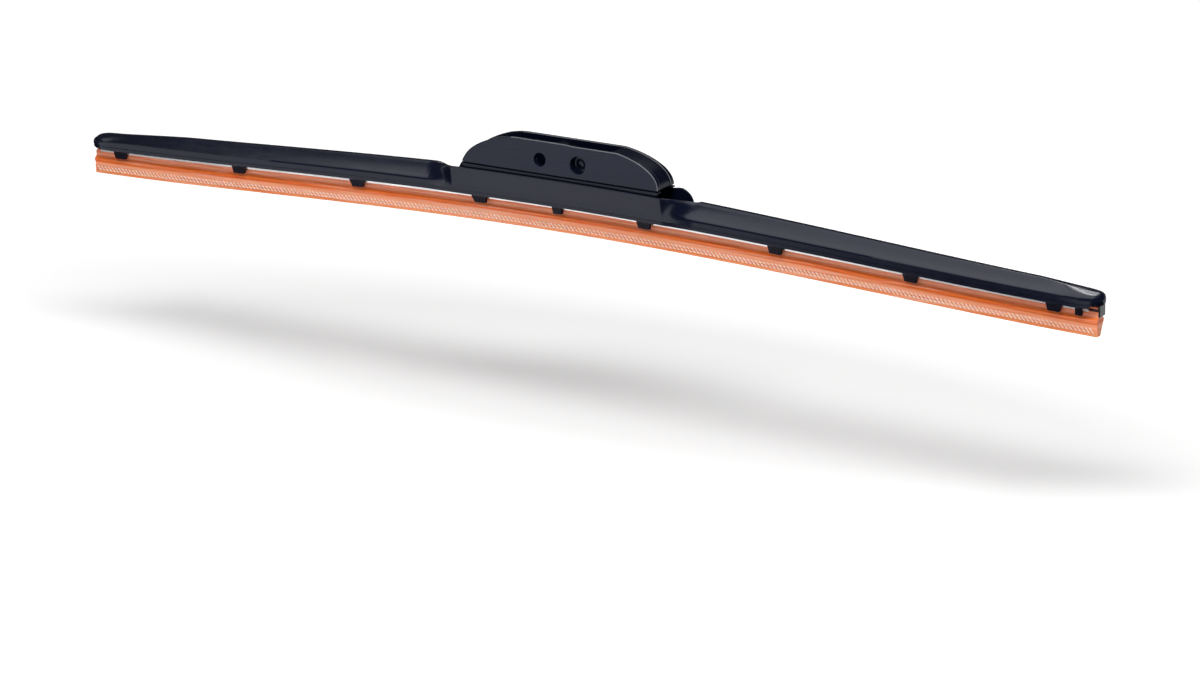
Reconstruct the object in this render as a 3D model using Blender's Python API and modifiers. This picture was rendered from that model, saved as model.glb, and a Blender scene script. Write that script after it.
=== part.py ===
"""Windscreen wiper blade: one-piece bowed cover, nine claws, two steel rails,
a silicone wiping element and a side-pin arm adapter that rocks on a steel pin.

X runs along the blade, -Y is the leading side, +Z points away from the glass.
The origin lies between the adapter's two side-pin holes, on their height.
Heights below are measured up from the cover's lower edge at mid length.
"""
import math

import bmesh
import bpy
from mathutils import Matrix, Vector

MM = 0.001

# Clearances and tolerances
FIT_GAP = 0.2 * MM          # gap that touching pieces keep
RUNNING_GAP = 0.15 * MM     # radial gap of the pivot pin and the cap's stubs
OVERRUN = 1.0 * MM          # how far a cutter passes a face
MERGE = 0.001 * MM          # weld distance for filled outlines

# Bow of the blade: the ends droop towards the glass
BOW_DROP = 6.76 * MM
BOW_REACH = 241.4 * MM

# Cover
TIP_LEFT = 224.6 * MM       # left tip to mid length
TIP_RIGHT = 226.9 * MM
TIP_WALL = 1.5 * MM
COVER_WALL = 1.2 * MM
SKIRT_HALF = 5.7 * MM       # half width of a wing's skirt
SKIRT_HEIGHT = 3.4 * MM
LIP_HEIGHT = 1.3 * MM       # recessed band along the skirt's lower edge
LIP_STEP = 0.22 * MM
RIDGE_HEIGHT = 9.15 * MM    # at the wing's root
RIDGE_TIP_HEIGHT = 6.25 * MM
RIDGE_SIDE = 1.6 * MM       # the ridge lies behind the middle plane
RIDGE_FLAT_HALF = 0.45 * MM
LEFT_DROOP = 1.9 * MM       # extra fall of the ridge towards the left tip
LEFT_DROOP_LENGTH = 46.0 * MM
LEFT_NOSE_LENGTH = 8.0 * MM  # the ridge is rounded off over this length
RIGHT_DROOP = 1.7 * MM
RIGHT_DROOP_LENGTH = 26.6 * MM
RIGHT_NOSE_LENGTH = 3.0 * MM
DROOP_POWER = 1.3
TIP_ROUND_LENGTH = 8.0 * MM  # the plan narrows over this length
TIP_LIFT = 0.55 * MM        # the lower edge rises at the tips
NOSE_SHARE = 0.985          # the loft stops at this share of the rounding

# Centre section, a boat-shaped hull with a well for the adapter
HULL_HALF = 44.6 * MM       # straight part of the hull, half length
HULL_END = 7.0 * MM         # length of its rounded ends
HULL_BASE_HALF = 6.3 * MM
RIM_HALF = 7.25 * MM
RIM_HEIGHT = 10.6 * MM
RIM_ROUND = 0.3 * MM
RIM_WALL = 1.0 * MM
WELL_HALF = 45.0 * MM       # half length of the well's flat floor
WELL_END = 5.7 * MM
WELL_FLOOR = 3.3 * MM
WELL_FLOOR_HALF = 5.4 * MM  # half width of the floor
WELL_SIDE_FOOT = 6.0 * MM   # above this height the well's sides are upright
HULL_CEILING = 2.1 * MM     # hollow below the well's floor
CEILING_RISE = 9.0 * MM     # the hollow grows to the wing's height over this length

# Rails, the spring steel strips
RAIL_TOP = -0.7 * MM
RAIL_THICKNESS = 0.8 * MM
RAIL_INNER = 0.8 * MM
RAIL_OUTER = 3.2 * MM
RAIL_LEFT_INSET = 4.6 * MM  # from the cover's left tip
RAIL_RIGHT_INSET = 4.7 * MM

# Silicone element
ELEMENT_LEFT_INSET = 1.0 * MM
ELEMENT_RIGHT_INSET = 1.7 * MM
HEAD_HALF = 2.1 * MM
HEAD_TOP = 0.3 * MM
NECK_HALF = 1.5 * MM
NECK_DEPTH = 3.6 * MM       # below the cover's edge
FLANGE_HALF = 2.65 * MM
FLANGE_TOP = 4.6 * MM
FLANGE_BOTTOM = 6.0 * MM
FLANGE_ROUND = 0.25 * MM
EDGE_DEPTH = 10.85 * MM     # wiping edge below the cover's edge
SCRUB_FACE = 2.35 * MM      # outer face of the scrubbing flap
SCRUB_THICKNESS = 0.8 * MM
SCRUB_SLIT = 0.35 * MM      # slit between flap and lip
SLIT_TOP = 7.0 * MM
LIP_ROOT_SIDE = 2.2 * MM
LIP_EDGE_SIDE = 0.1 * MM

# Claws
FIRST_CLAW_PLACE = 36.8 * MM  # from mid length
SECOND_CLAW_PLACE = 93.7 * MM
THIRD_CLAW_PLACE = 150.6 * MM
LAST_CLAW_LEFT_INSET = 15.6 * MM  # from the cover's left tip
LAST_CLAW_RIGHT_INSET = 17.9 * MM
CENTRE_CLAW_PLACE = -1.6 * MM
CLAW_TOP_LENGTH = 6.6 * MM
CLAW_FOOT_LENGTH = 5.2 * MM
CENTRE_CLAW_LENGTH = 4.6 * MM
CENTRE_CLAW_FOOT = 3.8 * MM
CLAW_DEPTH = 3.4 * MM       # below the cover's edge
CLAW_HOOK_INNER = 1.85 * MM
CLAW_CROWN = 1.4 * MM       # thickness over the element's head
CLAW_CHAMFER = 0.4 * MM

# Refill lock and end cap
LOCK_INSET = 8.6 * MM       # from the cover's right tip
LOCK_LENGTH = 2.7 * MM
LOCK_HALF = 4.0 * MM
CAP_HALF = 2.7 * MM
CAP_TOP = 0.3 * MM
CAP_DEPTH = 3.4 * MM
CAP_THICKNESS = 0.7 * MM
CAP_ROUND = 0.35 * MM
TONGUE_INNER = 0.9 * MM
TONGUE_OUTER = 1.9 * MM
TONGUE_OVERLAP = 0.1 * MM   # how far a tongue is rooted in the plate

# Adapter
SIDE_PIN_HEIGHT = 17.5 * MM
SIDE_PIN_SPACING = 17.0 * MM
SMALL_PIN_HOLE = 2.5 * MM   # radius, takes a 3/16 inch pin
LARGE_PIN_HOLE = 3.3 * MM   # radius, takes a 1/4 inch pin
LARGE_HOLE_DEPTH = 3.1 * MM
ADAPTER_HALF = 44.2 * MM
ADAPTER_TOP = 24.65 * MM
SHOULDER_LEFT = 24.2 * MM   # length of the rounded left end
SHOULDER_RIGHT = 21.7 * MM
WALL_FOOT = 11.0 * MM       # the thick wall starts just above the hull's rim
WALL_OUTER = 6.1 * MM       # at its foot
WALL_OUTER_TOP = 4.8 * MM
WALL_INNER = 3.6 * MM
WALL_BEVEL = 0.35 * MM
APRON_FOOT = 9.0 * MM       # thin lower wall that dips into the well
APRON_END_FOOT = 10.2 * MM  # its foot rises towards both ends
APRON_LEVEL_HALF = 16.0 * MM
APRON_OUTER = 5.7 * MM
APRON_INNER = 4.7 * MM
APRON_LAP = 0.4 * MM
APRON_INSET = 0.3 * MM
FLOOR_HALF_LENGTH = 20.0 * MM
FLOOR_FOOT = 10.6 * MM
FLOOR_THICKNESS = 1.6 * MM
FLOOR_ROOT = 0.5 * MM       # how far floor, boss and bar reach into the walls
BOSS_RADIUS = 4.6 * MM
BOSS_PEDESTAL = 6.0 * MM
STOP_BAR_LENGTH = 2.0 * MM
STOP_BAR_HEIGHT = 1.8 * MM

# Pivot of the adapter on the blade
PIN_HEIGHT = 7.6 * MM
PIN_RADIUS = 1.75 * MM
PIN_HALF_LENGTH = 4.45 * MM
HUB_RADIUS = 2.7 * MM
HUB_HALF = 2.95 * MM
HUB_NECK = 4.2 * MM
SNAP_MOUTH = 3.0 * MM       # mouth of the hub, narrower than the pin

# Saddle bracket in the well, and its rivets
SADDLE_HALF_LENGTH = 13.0 * MM
SADDLE_HALF_WIDTH = 4.3 * MM
SADDLE_THICKNESS = 0.9 * MM
EAR_INNER = 3.2 * MM
RIVET_PLACE = 9.5 * MM
RIVET_RADIUS = 1.2 * MM
RIVET_HEAD_RADIUS = 2.2 * MM
RIVET_HEAD = 0.8 * MM
RIVET_TAIL_RADIUS = 1.9 * MM
RIVET_TAIL = 0.5 * MM

# Lock cap, the flap that closes the adapter's right end
LOCK_CAP_RECESS = 0.35 * MM
LOCK_CAP_THICKNESS = 1.3 * MM
LOCK_CAP_FOOT = 12.3 * MM
LOCK_CAP_SIDE_GAP = 0.3 * MM
CAP_HINGE_X = 41.0 * MM
CAP_HINGE_HEIGHT = 14.4 * MM
KNUCKLE_RADIUS = 1.9 * MM
STUB_RADIUS = 1.0 * MM
STUB_LENGTH = 0.8 * MM

# Shares of the run and rise of a wing's flank, from skirt to ridge
LEADING_FLANK_SHARES = ((0.0, 0.0), (0.08, 0.09), (0.30, 0.25), (0.56, 0.49), (0.80, 0.77), (0.94, 0.95))
TRAILING_FLANK_SHARES = ((0.10, 0.04), (0.42, 0.24), (0.74, 0.56), (0.93, 0.84), (1.0, 1.0))
SKIRT_LIMIT_SHARE = 0.62    # of the section's height, where the tip gets low

# Shares of the run and rise of the adapter's shoulders, from flat top to foot
LEFT_SHOULDER_SHARES = ((0.0, 1.0), (0.13, 0.98), (0.31, 0.92), (0.48, 0.82), (0.59, 0.74), (0.70, 0.645),
                        (0.80, 0.53), (0.87, 0.42), (0.92, 0.31), (0.97, 0.155), (1.0, 0.0))
RIGHT_SHOULDER_SHARES = ((0.0, 1.0), (0.09, 0.99), (0.26, 0.94), (0.42, 0.87), (0.55, 0.80), (0.67, 0.715),
                         (0.80, 0.595), (0.87, 0.505), (0.93, 0.395), (0.97, 0.275), (0.99, 0.14), (1.0, 0.0))

# Numbers of steps
HULL_STEPS = 8
HULL_END_STEPS = 6
WING_STEPS = 14
TIP_STEPS = 9
ROUND_STEPS = 32

DATUM = Vector((0.0, 0.0, -SIDE_PIN_HEIGHT))

# Colours seen in the finished object
BLACK_PLASTIC = ("black_plastic", (0.022, 0.023, 0.030, 1.0), 0.42, 0.0)
CLAW_PLASTIC = ("claw_plastic", (0.016, 0.016, 0.020, 1.0), 0.50, 0.0)
SILICONE = ("orange_silicone", (0.80, 0.20, 0.045, 1.0), 0.45, 0.0)
RAIL_STEEL = ("rail_steel", (0.72, 0.72, 0.72, 1.0), 0.28, 1.0)
BRACKET_STEEL = ("bracket_steel", (0.45, 0.45, 0.46, 1.0), 0.40, 1.0)


def bow(x):
    """Height of the bowed line at x, zero at mid length."""
    share = x / BOW_REACH
    return -BOW_DROP * share ** 2 * (2.0 - share ** 2)


def mix(a, b, share):
    return a + (b - a) * share


def smooth(share):
    share = min(max(share, 0.0), 1.0)
    return share * share * (3.0 - 2.0 * share)


def rounding(share, power):
    """Falls from 1 to 0 along a superellipse as share goes from 0 to 1."""
    share = min(max(share, 0.0), 1.0)
    return (1.0 - share ** power) ** (1.0 / power)


def make_collection(name):
    collection = bpy.data.collections.new(name)
    bpy.context.scene.collection.children.link(collection)
    return collection


def clear_scene():
    for obj in list(bpy.data.objects):
        bpy.data.objects.remove(obj, do_unlink=True)


def material(spec):
    name, colour, roughness, metallic = spec
    found = bpy.data.materials.get(name)
    if found:
        return found
    made = bpy.data.materials.new(name)
    made.use_nodes = True
    shader = made.node_tree.nodes["Principled BSDF"]
    shader.inputs["Base Color"].default_value = colour
    shader.inputs["Roughness"].default_value = roughness
    shader.inputs["Metallic"].default_value = metallic
    made.diffuse_color = colour
    return made


def add_empty(name, height, x=0.0):
    empty = bpy.data.objects.new(name, None)
    empty.location = Vector((x, 0.0, height)) + DATUM
    empty.empty_display_size = PIN_HALF_LENGTH
    PARTS.objects.link(empty)
    return empty


def add_object(name, mesh, spec=None, parent=None):
    """Link a mesh whose coordinates count from the datum at the cover's edge."""
    obj = bpy.data.objects.new(name, mesh)
    if spec:
        PARTS.objects.link(obj)
        mesh.materials.clear()
        mesh.materials.append(material(spec))
    else:
        CUTTERS.objects.link(obj)
        obj.hide_render = True
        obj.display_type = "WIRE"
    obj.location = DATUM
    if parent:
        obj.parent = parent
        obj.location = DATUM - parent.location
    return obj


def mesh_from(bm, name):
    bmesh.ops.recalc_face_normals(bm, faces=bm.faces)
    mesh = bpy.data.meshes.new(name)
    bm.to_mesh(mesh)
    bm.free()
    return mesh


def loft(name, sections):
    """Closed solid through sections that have the same number of points."""
    bm = bmesh.new()
    rings = [[bm.verts.new(point) for point in section] for section in sections]
    count = len(rings[0])
    for ring, following in zip(rings, rings[1:]):
        for i in range(count):
            j = (i + 1) % count
            bm.faces.new((ring[i], ring[j], following[j], following[i]))
    bm.faces.new(rings[0])
    bm.faces.new(list(reversed(rings[-1])))
    return mesh_from(bm, name)


def block(name, low, high):
    """Box between two corners, from a cube primitive."""
    low, high = Vector(low), Vector(high)
    bm = bmesh.new()
    bmesh.ops.create_cube(bm, size=1.0)
    size = high - low
    bmesh.ops.scale(bm, vec=size, verts=bm.verts)
    bmesh.ops.translate(bm, vec=(low + high) / 2.0, verts=bm.verts)
    return mesh_from(bm, name)


def cross_bar(name, radius, low_y, high_y, x, height, steps=ROUND_STEPS):
    """Cylinder along Y, from a cone primitive."""
    bm = bmesh.new()
    bmesh.ops.create_cone(bm, cap_ends=True, segments=steps, radius1=radius,
                          radius2=radius, depth=high_y - low_y)
    turn = Matrix.Rotation(math.radians(90.0), 4, "X")
    bmesh.ops.transform(bm, matrix=turn, verts=bm.verts)
    bmesh.ops.translate(bm, vec=(x, (low_y + high_y) / 2.0, height), verts=bm.verts)
    return mesh_from(bm, name)


def plate(name, outline, low, high, along):
    """Flat outline filled as a 2D curve and extruded along X or Y.

    Outline points are (Y, Z) when it runs along X, and (X, Z) when along Y.
    """
    curve = bpy.data.curves.new(name, "CURVE")
    curve.dimensions = "2D"
    curve.fill_mode = "BOTH"
    curve.extrude = (high - low) / 2.0
    spline = curve.splines.new("POLY")
    spline.points.add(len(outline) - 1)
    for point, (u, v) in zip(spline.points, outline):
        point.co = (u, v, 0.0, 1.0)
    spline.use_cyclic_u = True
    holder = bpy.data.objects.new(name, curve)
    CUTTERS.objects.link(holder)
    bpy.context.view_layer.update()
    graph = bpy.context.evaluated_depsgraph_get()
    mesh = bpy.data.meshes.new_from_object(holder.evaluated_get(graph))
    bpy.data.objects.remove(holder, do_unlink=True)
    middle = (low + high) / 2.0
    if along == "X":
        turn = Matrix(((0, 0, 1, middle), (1, 0, 0, 0), (0, 1, 0, 0), (0, 0, 0, 1)))
    else:
        turn = Matrix(((1, 0, 0, 0), (0, 0, -1, middle), (0, 1, 0, 0), (0, 0, 0, 1)))
    bm = bmesh.new()
    bm.from_mesh(mesh)
    bmesh.ops.remove_doubles(bm, verts=bm.verts, dist=MERGE)
    bmesh.ops.transform(bm, matrix=turn, verts=bm.verts)
    bpy.data.meshes.remove(mesh)
    return mesh_from(bm, name)


def bend(mesh):
    """Shift a straight piece onto the blade's bowed line."""
    for vertex in mesh.vertices:
        vertex.co.z += bow(vertex.co.x)
    return mesh


def boolean(obj, tool_mesh, operation):
    tool = add_object(tool_mesh.name, tool_mesh, parent=obj.parent)
    modifier = obj.modifiers.new(tool.name, "BOOLEAN")
    modifier.operation = operation
    modifier.object = tool
    return obj


def cut(obj, tool_mesh):
    return boolean(obj, tool_mesh, "DIFFERENCE")


def join(obj, tool_mesh):
    return boolean(obj, tool_mesh, "UNION")


def bevel(obj, width, segments=2):
    modifier = obj.modifiers.new("soft_edges", "BEVEL")
    modifier.width = width
    modifier.segments = segments
    modifier.limit_method = "ANGLE"
    modifier.angle_limit = math.radians(40.0)
    modifier.use_clamp_overlap = True
    return obj


def shade_round(obj, angle=32.0):
    obj.data.shade_smooth()
    obj.data.set_sharp_from_angle(angle=math.radians(angle))
    return obj


def side_stations(tip, end_share):
    """Stations from the hull's straight part to one tip, all positive."""
    places = [HULL_HALF + HULL_END * math.sin(math.radians(90.0) * i / HULL_END_STEPS)
              for i in range(1, HULL_END_STEPS + 1)]
    root = HULL_HALF + HULL_END
    fall = tip - TIP_ROUND_LENGTH
    places += [mix(root, fall, i / WING_STEPS) for i in range(1, WING_STEPS + 1)]
    places += [mix(fall, tip, end_share * math.sin(math.radians(90.0) * i / TIP_STEPS))
               for i in range(1, TIP_STEPS + 1)]
    return places


def cover_stations():
    middle = [mix(-HULL_HALF, HULL_HALF, i / HULL_STEPS) for i in range(HULL_STEPS + 1)]
    left = [-x for x in reversed(side_stations(TIP_LEFT, NOSE_SHARE))]
    return left + middle + side_stations(TIP_RIGHT, NOSE_SHARE)


def tip_of(x):
    return TIP_RIGHT if x > 0.0 else TIP_LEFT


def ridge_height(x):
    """Height of the ridge: a straight fall, a droop and a rounded nose."""
    tip = tip_of(x)
    root = HULL_HALF + HULL_END
    along = max(abs(x) - root, 0.0) / (tip - root)
    droop = RIGHT_DROOP if x > 0.0 else LEFT_DROOP
    droop_length = RIGHT_DROOP_LENGTH if x > 0.0 else LEFT_DROOP_LENGTH
    nose = RIGHT_NOSE_LENGTH if x > 0.0 else LEFT_NOSE_LENGTH
    drooped = (max(abs(x) - tip + droop_length, 0.0) / droop_length) ** DROOP_POWER
    height = mix(RIDGE_HEIGHT, RIDGE_TIP_HEIGHT, along) - droop * drooped
    return height * rounding((abs(x) - tip + nose) / nose, 2.0)


def plan_half(x):
    tip = tip_of(x)
    return SKIRT_HALF * rounding((abs(x) - tip + TIP_ROUND_LENGTH) / TIP_ROUND_LENGTH, 2.2)


def edge_lift(x):
    return TIP_LIFT * smooth((abs(x) - tip_of(x) + TIP_ROUND_LENGTH) / TIP_ROUND_LENGTH)


def wing_points(x):
    """Outer outline of a wing's section, leading edge to trailing edge."""
    half = plan_half(x)
    height = ridge_height(x)
    foot = edge_lift(x)
    skirt = min(SKIRT_HEIGHT, SKIRT_LIMIT_SHARE * height)
    lip = min(LIP_HEIGHT, skirt / 2.0)
    step = min(LIP_STEP, half / 4.0)
    side = RIDGE_SIDE * half / SKIRT_HALF
    flat = RIDGE_FLAT_HALF * half / SKIRT_HALF
    points = [(-half + step, foot), (-half + step, lip), (-half, lip + step)]
    for run, rise in LEADING_FLANK_SHARES:
        points.append((mix(-half, side - flat, run), mix(skirt, height, rise)))
    points += [(side - flat, height), (side + flat, height)]
    for run, fall in TRAILING_FLANK_SHARES:
        points.append((mix(side + flat, half, run), mix(height, skirt, fall)))
    points += [(half, lip + step), (half - step, lip), (half - step, foot)]
    return points


def hull_points():
    """Outer outline of the centre section, with the same number of points."""
    half = HULL_BASE_HALF
    points = [(-half + LIP_STEP, 0.0), (-half + LIP_STEP, LIP_HEIGHT), (-half, LIP_HEIGHT + LIP_STEP)]
    for _, rise in LEADING_FLANK_SHARES:
        points.append((-mix(half, RIM_HALF, rise), mix(SKIRT_HEIGHT, RIM_HEIGHT - RIM_ROUND, rise)))
    points += [(-RIM_HALF + RIM_ROUND, RIM_HEIGHT), (RIM_HALF - RIM_ROUND, RIM_HEIGHT)]
    for _, fall in TRAILING_FLANK_SHARES:
        points.append((mix(RIM_HALF, half, fall), mix(RIM_HEIGHT - RIM_ROUND, SKIRT_HEIGHT, fall)))
    points += [(half, LIP_HEIGHT + LIP_STEP), (half - LIP_STEP, LIP_HEIGHT), (half - LIP_STEP, 0.0)]
    return points


def outer_section(x):
    """Section of the cover's outer form, which blends from hull to wing."""
    hull_share = rounding((abs(x) - HULL_HALF) / HULL_END, 2.0)
    pairs = zip(wing_points(x), hull_points())
    return [(x, mix(wing[0], hull[0], hull_share), mix(wing[1], hull[1], hull_share) + bow(x))
            for wing, hull in pairs]


def hollow_section(x):
    """Section of the hollow that opens through the cover's lower edge."""
    root = HULL_HALF + HULL_END
    wing_share = smooth((abs(x) - root) / CEILING_RISE)
    half = plan_half(x)
    inner_half = half - COVER_WALL
    section = []
    for y, z in wing_points(x)[2:-2]:
        wing_y = y * inner_half / half
        wing_z = z - COVER_WALL
        hull_y = math.copysign(min(abs(y), inner_half), y)
        hull_z = min(wing_z, HULL_CEILING)
        section.append((x, mix(hull_y, wing_y, wing_share), mix(hull_z, wing_z, wing_share) + bow(x)))
    first, last = section[0], section[-1]
    foot = bow(x) - OVERRUN
    return [(x, first[1], foot)] + section + [(x, last[1], foot)]


def well_section(x):
    """Section of the well for the adapter, with scooped ends."""
    share = rounding((abs(x) - WELL_HALF) / WELL_END, 2.0)
    rim = RIM_HEIGHT - RIM_ROUND
    levels = ((WELL_FLOOR_HALF, WELL_FLOOR), (RIM_HALF - RIM_WALL, WELL_SIDE_FOOT))
    leading = []
    trailing = []
    for half, height in levels:
        z = mix(rim, height, share) + bow(x)
        leading.append((x, mix(RIDGE_SIDE - RIM_ROUND, -half, share), z))
        trailing.append((x, mix(RIDGE_SIDE + RIM_ROUND, half, share), z))
    top = RIM_HEIGHT + OVERRUN
    trailing.append((x, trailing[-1][1], top))
    leading.append((x, leading[-1][1], top))
    return trailing + list(reversed(leading))


def make_cover(parent):
    mesh = loft("cover", [outer_section(x) for x in cover_stations()])
    cover = add_object("cover", mesh, BLACK_PLASTIC, parent)
    left_end = -(TIP_LEFT - TIP_WALL)
    right_end = TIP_RIGHT - TIP_WALL
    inner = [x for x in cover_stations() if left_end < x < right_end]
    sections = [hollow_section(x) for x in [left_end] + inner + [right_end]]
    cut(cover, loft("cover_hollow", sections))
    ends = [WELL_HALF + WELL_END * math.sin(math.radians(90.0) * i / HULL_END_STEPS)
            for i in range(1, HULL_END_STEPS)]
    ends.append(WELL_HALF + WELL_END * NOSE_SHARE)
    middle = [mix(-WELL_HALF, WELL_HALF, i / HULL_STEPS) for i in range(HULL_STEPS + 1)]
    places = [-x for x in reversed(ends)] + middle + ends
    cut(cover, loft("adapter_well", [well_section(x) for x in places]))
    for side, x in (("left", -RIVET_PLACE), ("right", RIVET_PLACE)):
        hole = cylinder_up("rivet_hole_" + side, RIVET_RADIUS + FIT_GAP,
                           HULL_CEILING - OVERRUN, WELL_FLOOR + OVERRUN, x)
        cut(cover, hole)
    return shade_round(cover, 28.0)


def cylinder_up(name, radius, low, high, x):
    bm = bmesh.new()
    bmesh.ops.create_cone(bm, cap_ends=True, segments=ROUND_STEPS, radius1=radius,
                          radius2=radius, depth=high - low)
    bmesh.ops.translate(bm, vec=(x, 0.0, (low + high) / 2.0), verts=bm.verts)
    return mesh_from(bm, name)


def sweep(name, outline, left, right):
    """Carry a constant outline of (Y, Z) points along the bowed line."""
    inner = [x for x in cover_stations() if -left < x < right]
    sections = [[(x, y, z + bow(x)) for y, z in outline] for x in [-left] + inner + [right]]
    return loft(name, sections)


def make_rails(parent):
    for name, side in (("rail_leading", -1.0), ("rail_trailing", 1.0)):
        low = RAIL_TOP - RAIL_THICKNESS
        outline = [(side * RAIL_INNER, low), (side * RAIL_OUTER, low),
                   (side * RAIL_OUTER, RAIL_TOP), (side * RAIL_INNER, RAIL_TOP)]
        mesh = sweep(name, outline, TIP_LEFT - RAIL_LEFT_INSET, TIP_RIGHT - RAIL_RIGHT_INSET)
        add_object(name, mesh, RAIL_STEEL, parent)


def head_outline(side):
    """Head, rail slot, neck and flange of one side, from top to flange foot."""
    slot_top = RAIL_TOP + FIT_GAP
    slot_foot = RAIL_TOP - RAIL_THICKNESS - FIT_GAP
    web = RAIL_INNER - FIT_GAP
    points = [(HEAD_HALF, HEAD_TOP), (HEAD_HALF, slot_top), (web, slot_top), (web, slot_foot),
              (NECK_HALF, slot_foot), (NECK_HALF, -NECK_DEPTH),
              (FLANGE_HALF - FLANGE_ROUND, -FLANGE_TOP), (FLANGE_HALF, -FLANGE_TOP - FLANGE_ROUND),
              (FLANGE_HALF, -FLANGE_BOTTOM + FLANGE_ROUND), (FLANGE_HALF - FLANGE_ROUND, -FLANGE_BOTTOM)]
    return [(side * y, z) for y, z in points]


def make_element(parent):
    root = -FLANGE_BOTTOM - FLANGE_ROUND
    flap_inner = -SCRUB_FACE + SCRUB_THICKNESS
    lip_near = flap_inner + SCRUB_SLIT
    lower = [(LIP_ROOT_SIDE, root), (LIP_EDGE_SIDE, -EDGE_DEPTH), (lip_near, -EDGE_DEPTH),
             (lip_near, -SLIT_TOP), (flap_inner, -SLIT_TOP), (flap_inner, -EDGE_DEPTH),
             (-SCRUB_FACE, -EDGE_DEPTH), (-SCRUB_FACE, root)]
    outline = head_outline(1.0) + lower + list(reversed(head_outline(-1.0)))
    mesh = sweep("wiping_element", outline, TIP_LEFT - ELEMENT_LEFT_INSET, TIP_RIGHT - ELEMENT_RIGHT_INSET)
    return add_object("wiping_element", mesh, SILICONE, parent)


def claw_outline(half):
    """C-shaped clip: crown over the head, hooks below the rails."""
    inner = RAIL_OUTER + FIT_GAP
    crown_foot = HEAD_TOP + FIT_GAP
    crown = crown_foot + CLAW_CROWN
    hook = RAIL_TOP - RAIL_THICKNESS - FIT_GAP
    side = [(half - CLAW_CHAMFER, crown), (half, crown - CLAW_CHAMFER), (half, -CLAW_DEPTH + CLAW_CHAMFER),
            (half - CLAW_CHAMFER, -CLAW_DEPTH), (CLAW_HOOK_INNER + CLAW_CHAMFER, -CLAW_DEPTH),
            (CLAW_HOOK_INNER, -CLAW_DEPTH + CLAW_CHAMFER), (CLAW_HOOK_INNER, hook), (inner, hook),
            (inner, crown_foot)]
    return side + [(-y, z) for y, z in reversed(side)]


def make_clip(name, place, half, top_length, foot_length, parent):
    mesh = plate(name, claw_outline(half), -top_length / 2.0, top_length / 2.0, "X")
    for vertex in mesh.vertices:
        below = max(-vertex.co.z, 0.0) / CLAW_DEPTH
        vertex.co.x *= mix(1.0, foot_length / top_length, below)
        vertex.co.x += place
    return add_object(name, bend(mesh), CLAW_PLASTIC, parent)


def make_claws(parent):
    half = SKIRT_HALF - COVER_WALL - FIT_GAP
    for side, sign in (("left", -1.0), ("right", 1.0)):
        last = TIP_LEFT - LAST_CLAW_LEFT_INSET if sign < 0.0 else TIP_RIGHT - LAST_CLAW_RIGHT_INSET
        places = (FIRST_CLAW_PLACE, SECOND_CLAW_PLACE, THIRD_CLAW_PLACE, last)
        for number, place in enumerate(places, 1):
            name = f"claw_{side}_{number}"
            make_clip(name, sign * place, half, CLAW_TOP_LENGTH, CLAW_FOOT_LENGTH, parent)
    make_clip("claw_centre", CENTRE_CLAW_PLACE, half, CENTRE_CLAW_LENGTH, CENTRE_CLAW_FOOT, parent)
    make_clip("refill_lock", TIP_RIGHT - LOCK_INSET, LOCK_HALF, LOCK_LENGTH, LOCK_LENGTH, parent)


def make_end_cap(parent):
    inner_face = TIP_RIGHT - ELEMENT_RIGHT_INSET + FIT_GAP
    outer_face = inner_face + CAP_THICKNESS
    shift = bow(outer_face)
    corners = [(CAP_HALF, CAP_TOP - CAP_ROUND), (CAP_HALF - CAP_ROUND, CAP_TOP)]
    feet = [(CAP_HALF - CAP_ROUND, -CAP_DEPTH), (CAP_HALF, -CAP_DEPTH + CAP_ROUND)]
    outline = corners + [(-y, z) for y, z in reversed(corners)]
    outline += [(-y, z) for y, z in reversed(feet)] + feet
    outline = [(y, z + shift) for y, z in outline]
    cap = add_object("end_cap", plate("end_cap", outline, inner_face, outer_face, "X"), CLAW_PLASTIC, parent)
    low = RAIL_TOP - RAIL_THICKNESS + shift
    high = RAIL_TOP + shift
    for name, side in (("tongue_leading", -1.0), ("tongue_trailing", 1.0)):
        sides = sorted((side * TONGUE_INNER, side * TONGUE_OUTER))
        tongue = block(name, (TIP_RIGHT - RAIL_RIGHT_INSET + FIT_GAP, sides[0], low),
                       (inner_face + TONGUE_OVERLAP, sides[1], high))
        join(cap, tongue)
    return cap


def shoulder(length, shares):
    """Rounded end of the adapter's side, from its flat top down to its foot."""
    start = ADAPTER_HALF - length
    return [(start + length * run, mix(WALL_FOOT, ADAPTER_TOP, rise)) for run, rise in shares]


def wall_outline():
    left = [(-x, z) for x, z in shoulder(SHOULDER_LEFT, LEFT_SHOULDER_SHARES)]
    return list(reversed(left)) + shoulder(SHOULDER_RIGHT, RIGHT_SHOULDER_SHARES)


def apron_outline():
    half = ADAPTER_HALF - APRON_INSET
    top = WALL_FOOT + APRON_LAP
    return [(-half, top), (-half, APRON_END_FOOT), (-APRON_LEVEL_HALF, APRON_FOOT),
            (APRON_LEVEL_HALF, APRON_FOOT), (half, APRON_END_FOOT), (half, top)]


def make_wall(name, side):
    """Side wall whose outer face leans in towards its top."""
    low, high = sorted((side * WALL_INNER, side * WALL_OUTER))
    mesh = plate(name, wall_outline(), low, high, "Y")
    lean = (WALL_OUTER - WALL_OUTER_TOP) / (ADAPTER_TOP - WALL_FOOT)
    middle = (WALL_INNER + WALL_OUTER) / 2.0
    for vertex in mesh.vertices:
        if abs(vertex.co.y) > middle:
            vertex.co.y = side * (WALL_OUTER - lean * (vertex.co.z - WALL_FOOT))
    return mesh


def arc(radius, start, end, steps):
    """Points of an arc around the pivot pin, angles in degrees from +X."""
    angles = [math.radians(mix(start, end, i / steps)) for i in range(steps + 1)]
    return [(radius * math.cos(angle), PIN_HEIGHT + radius * math.sin(angle)) for angle in angles]


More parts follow.
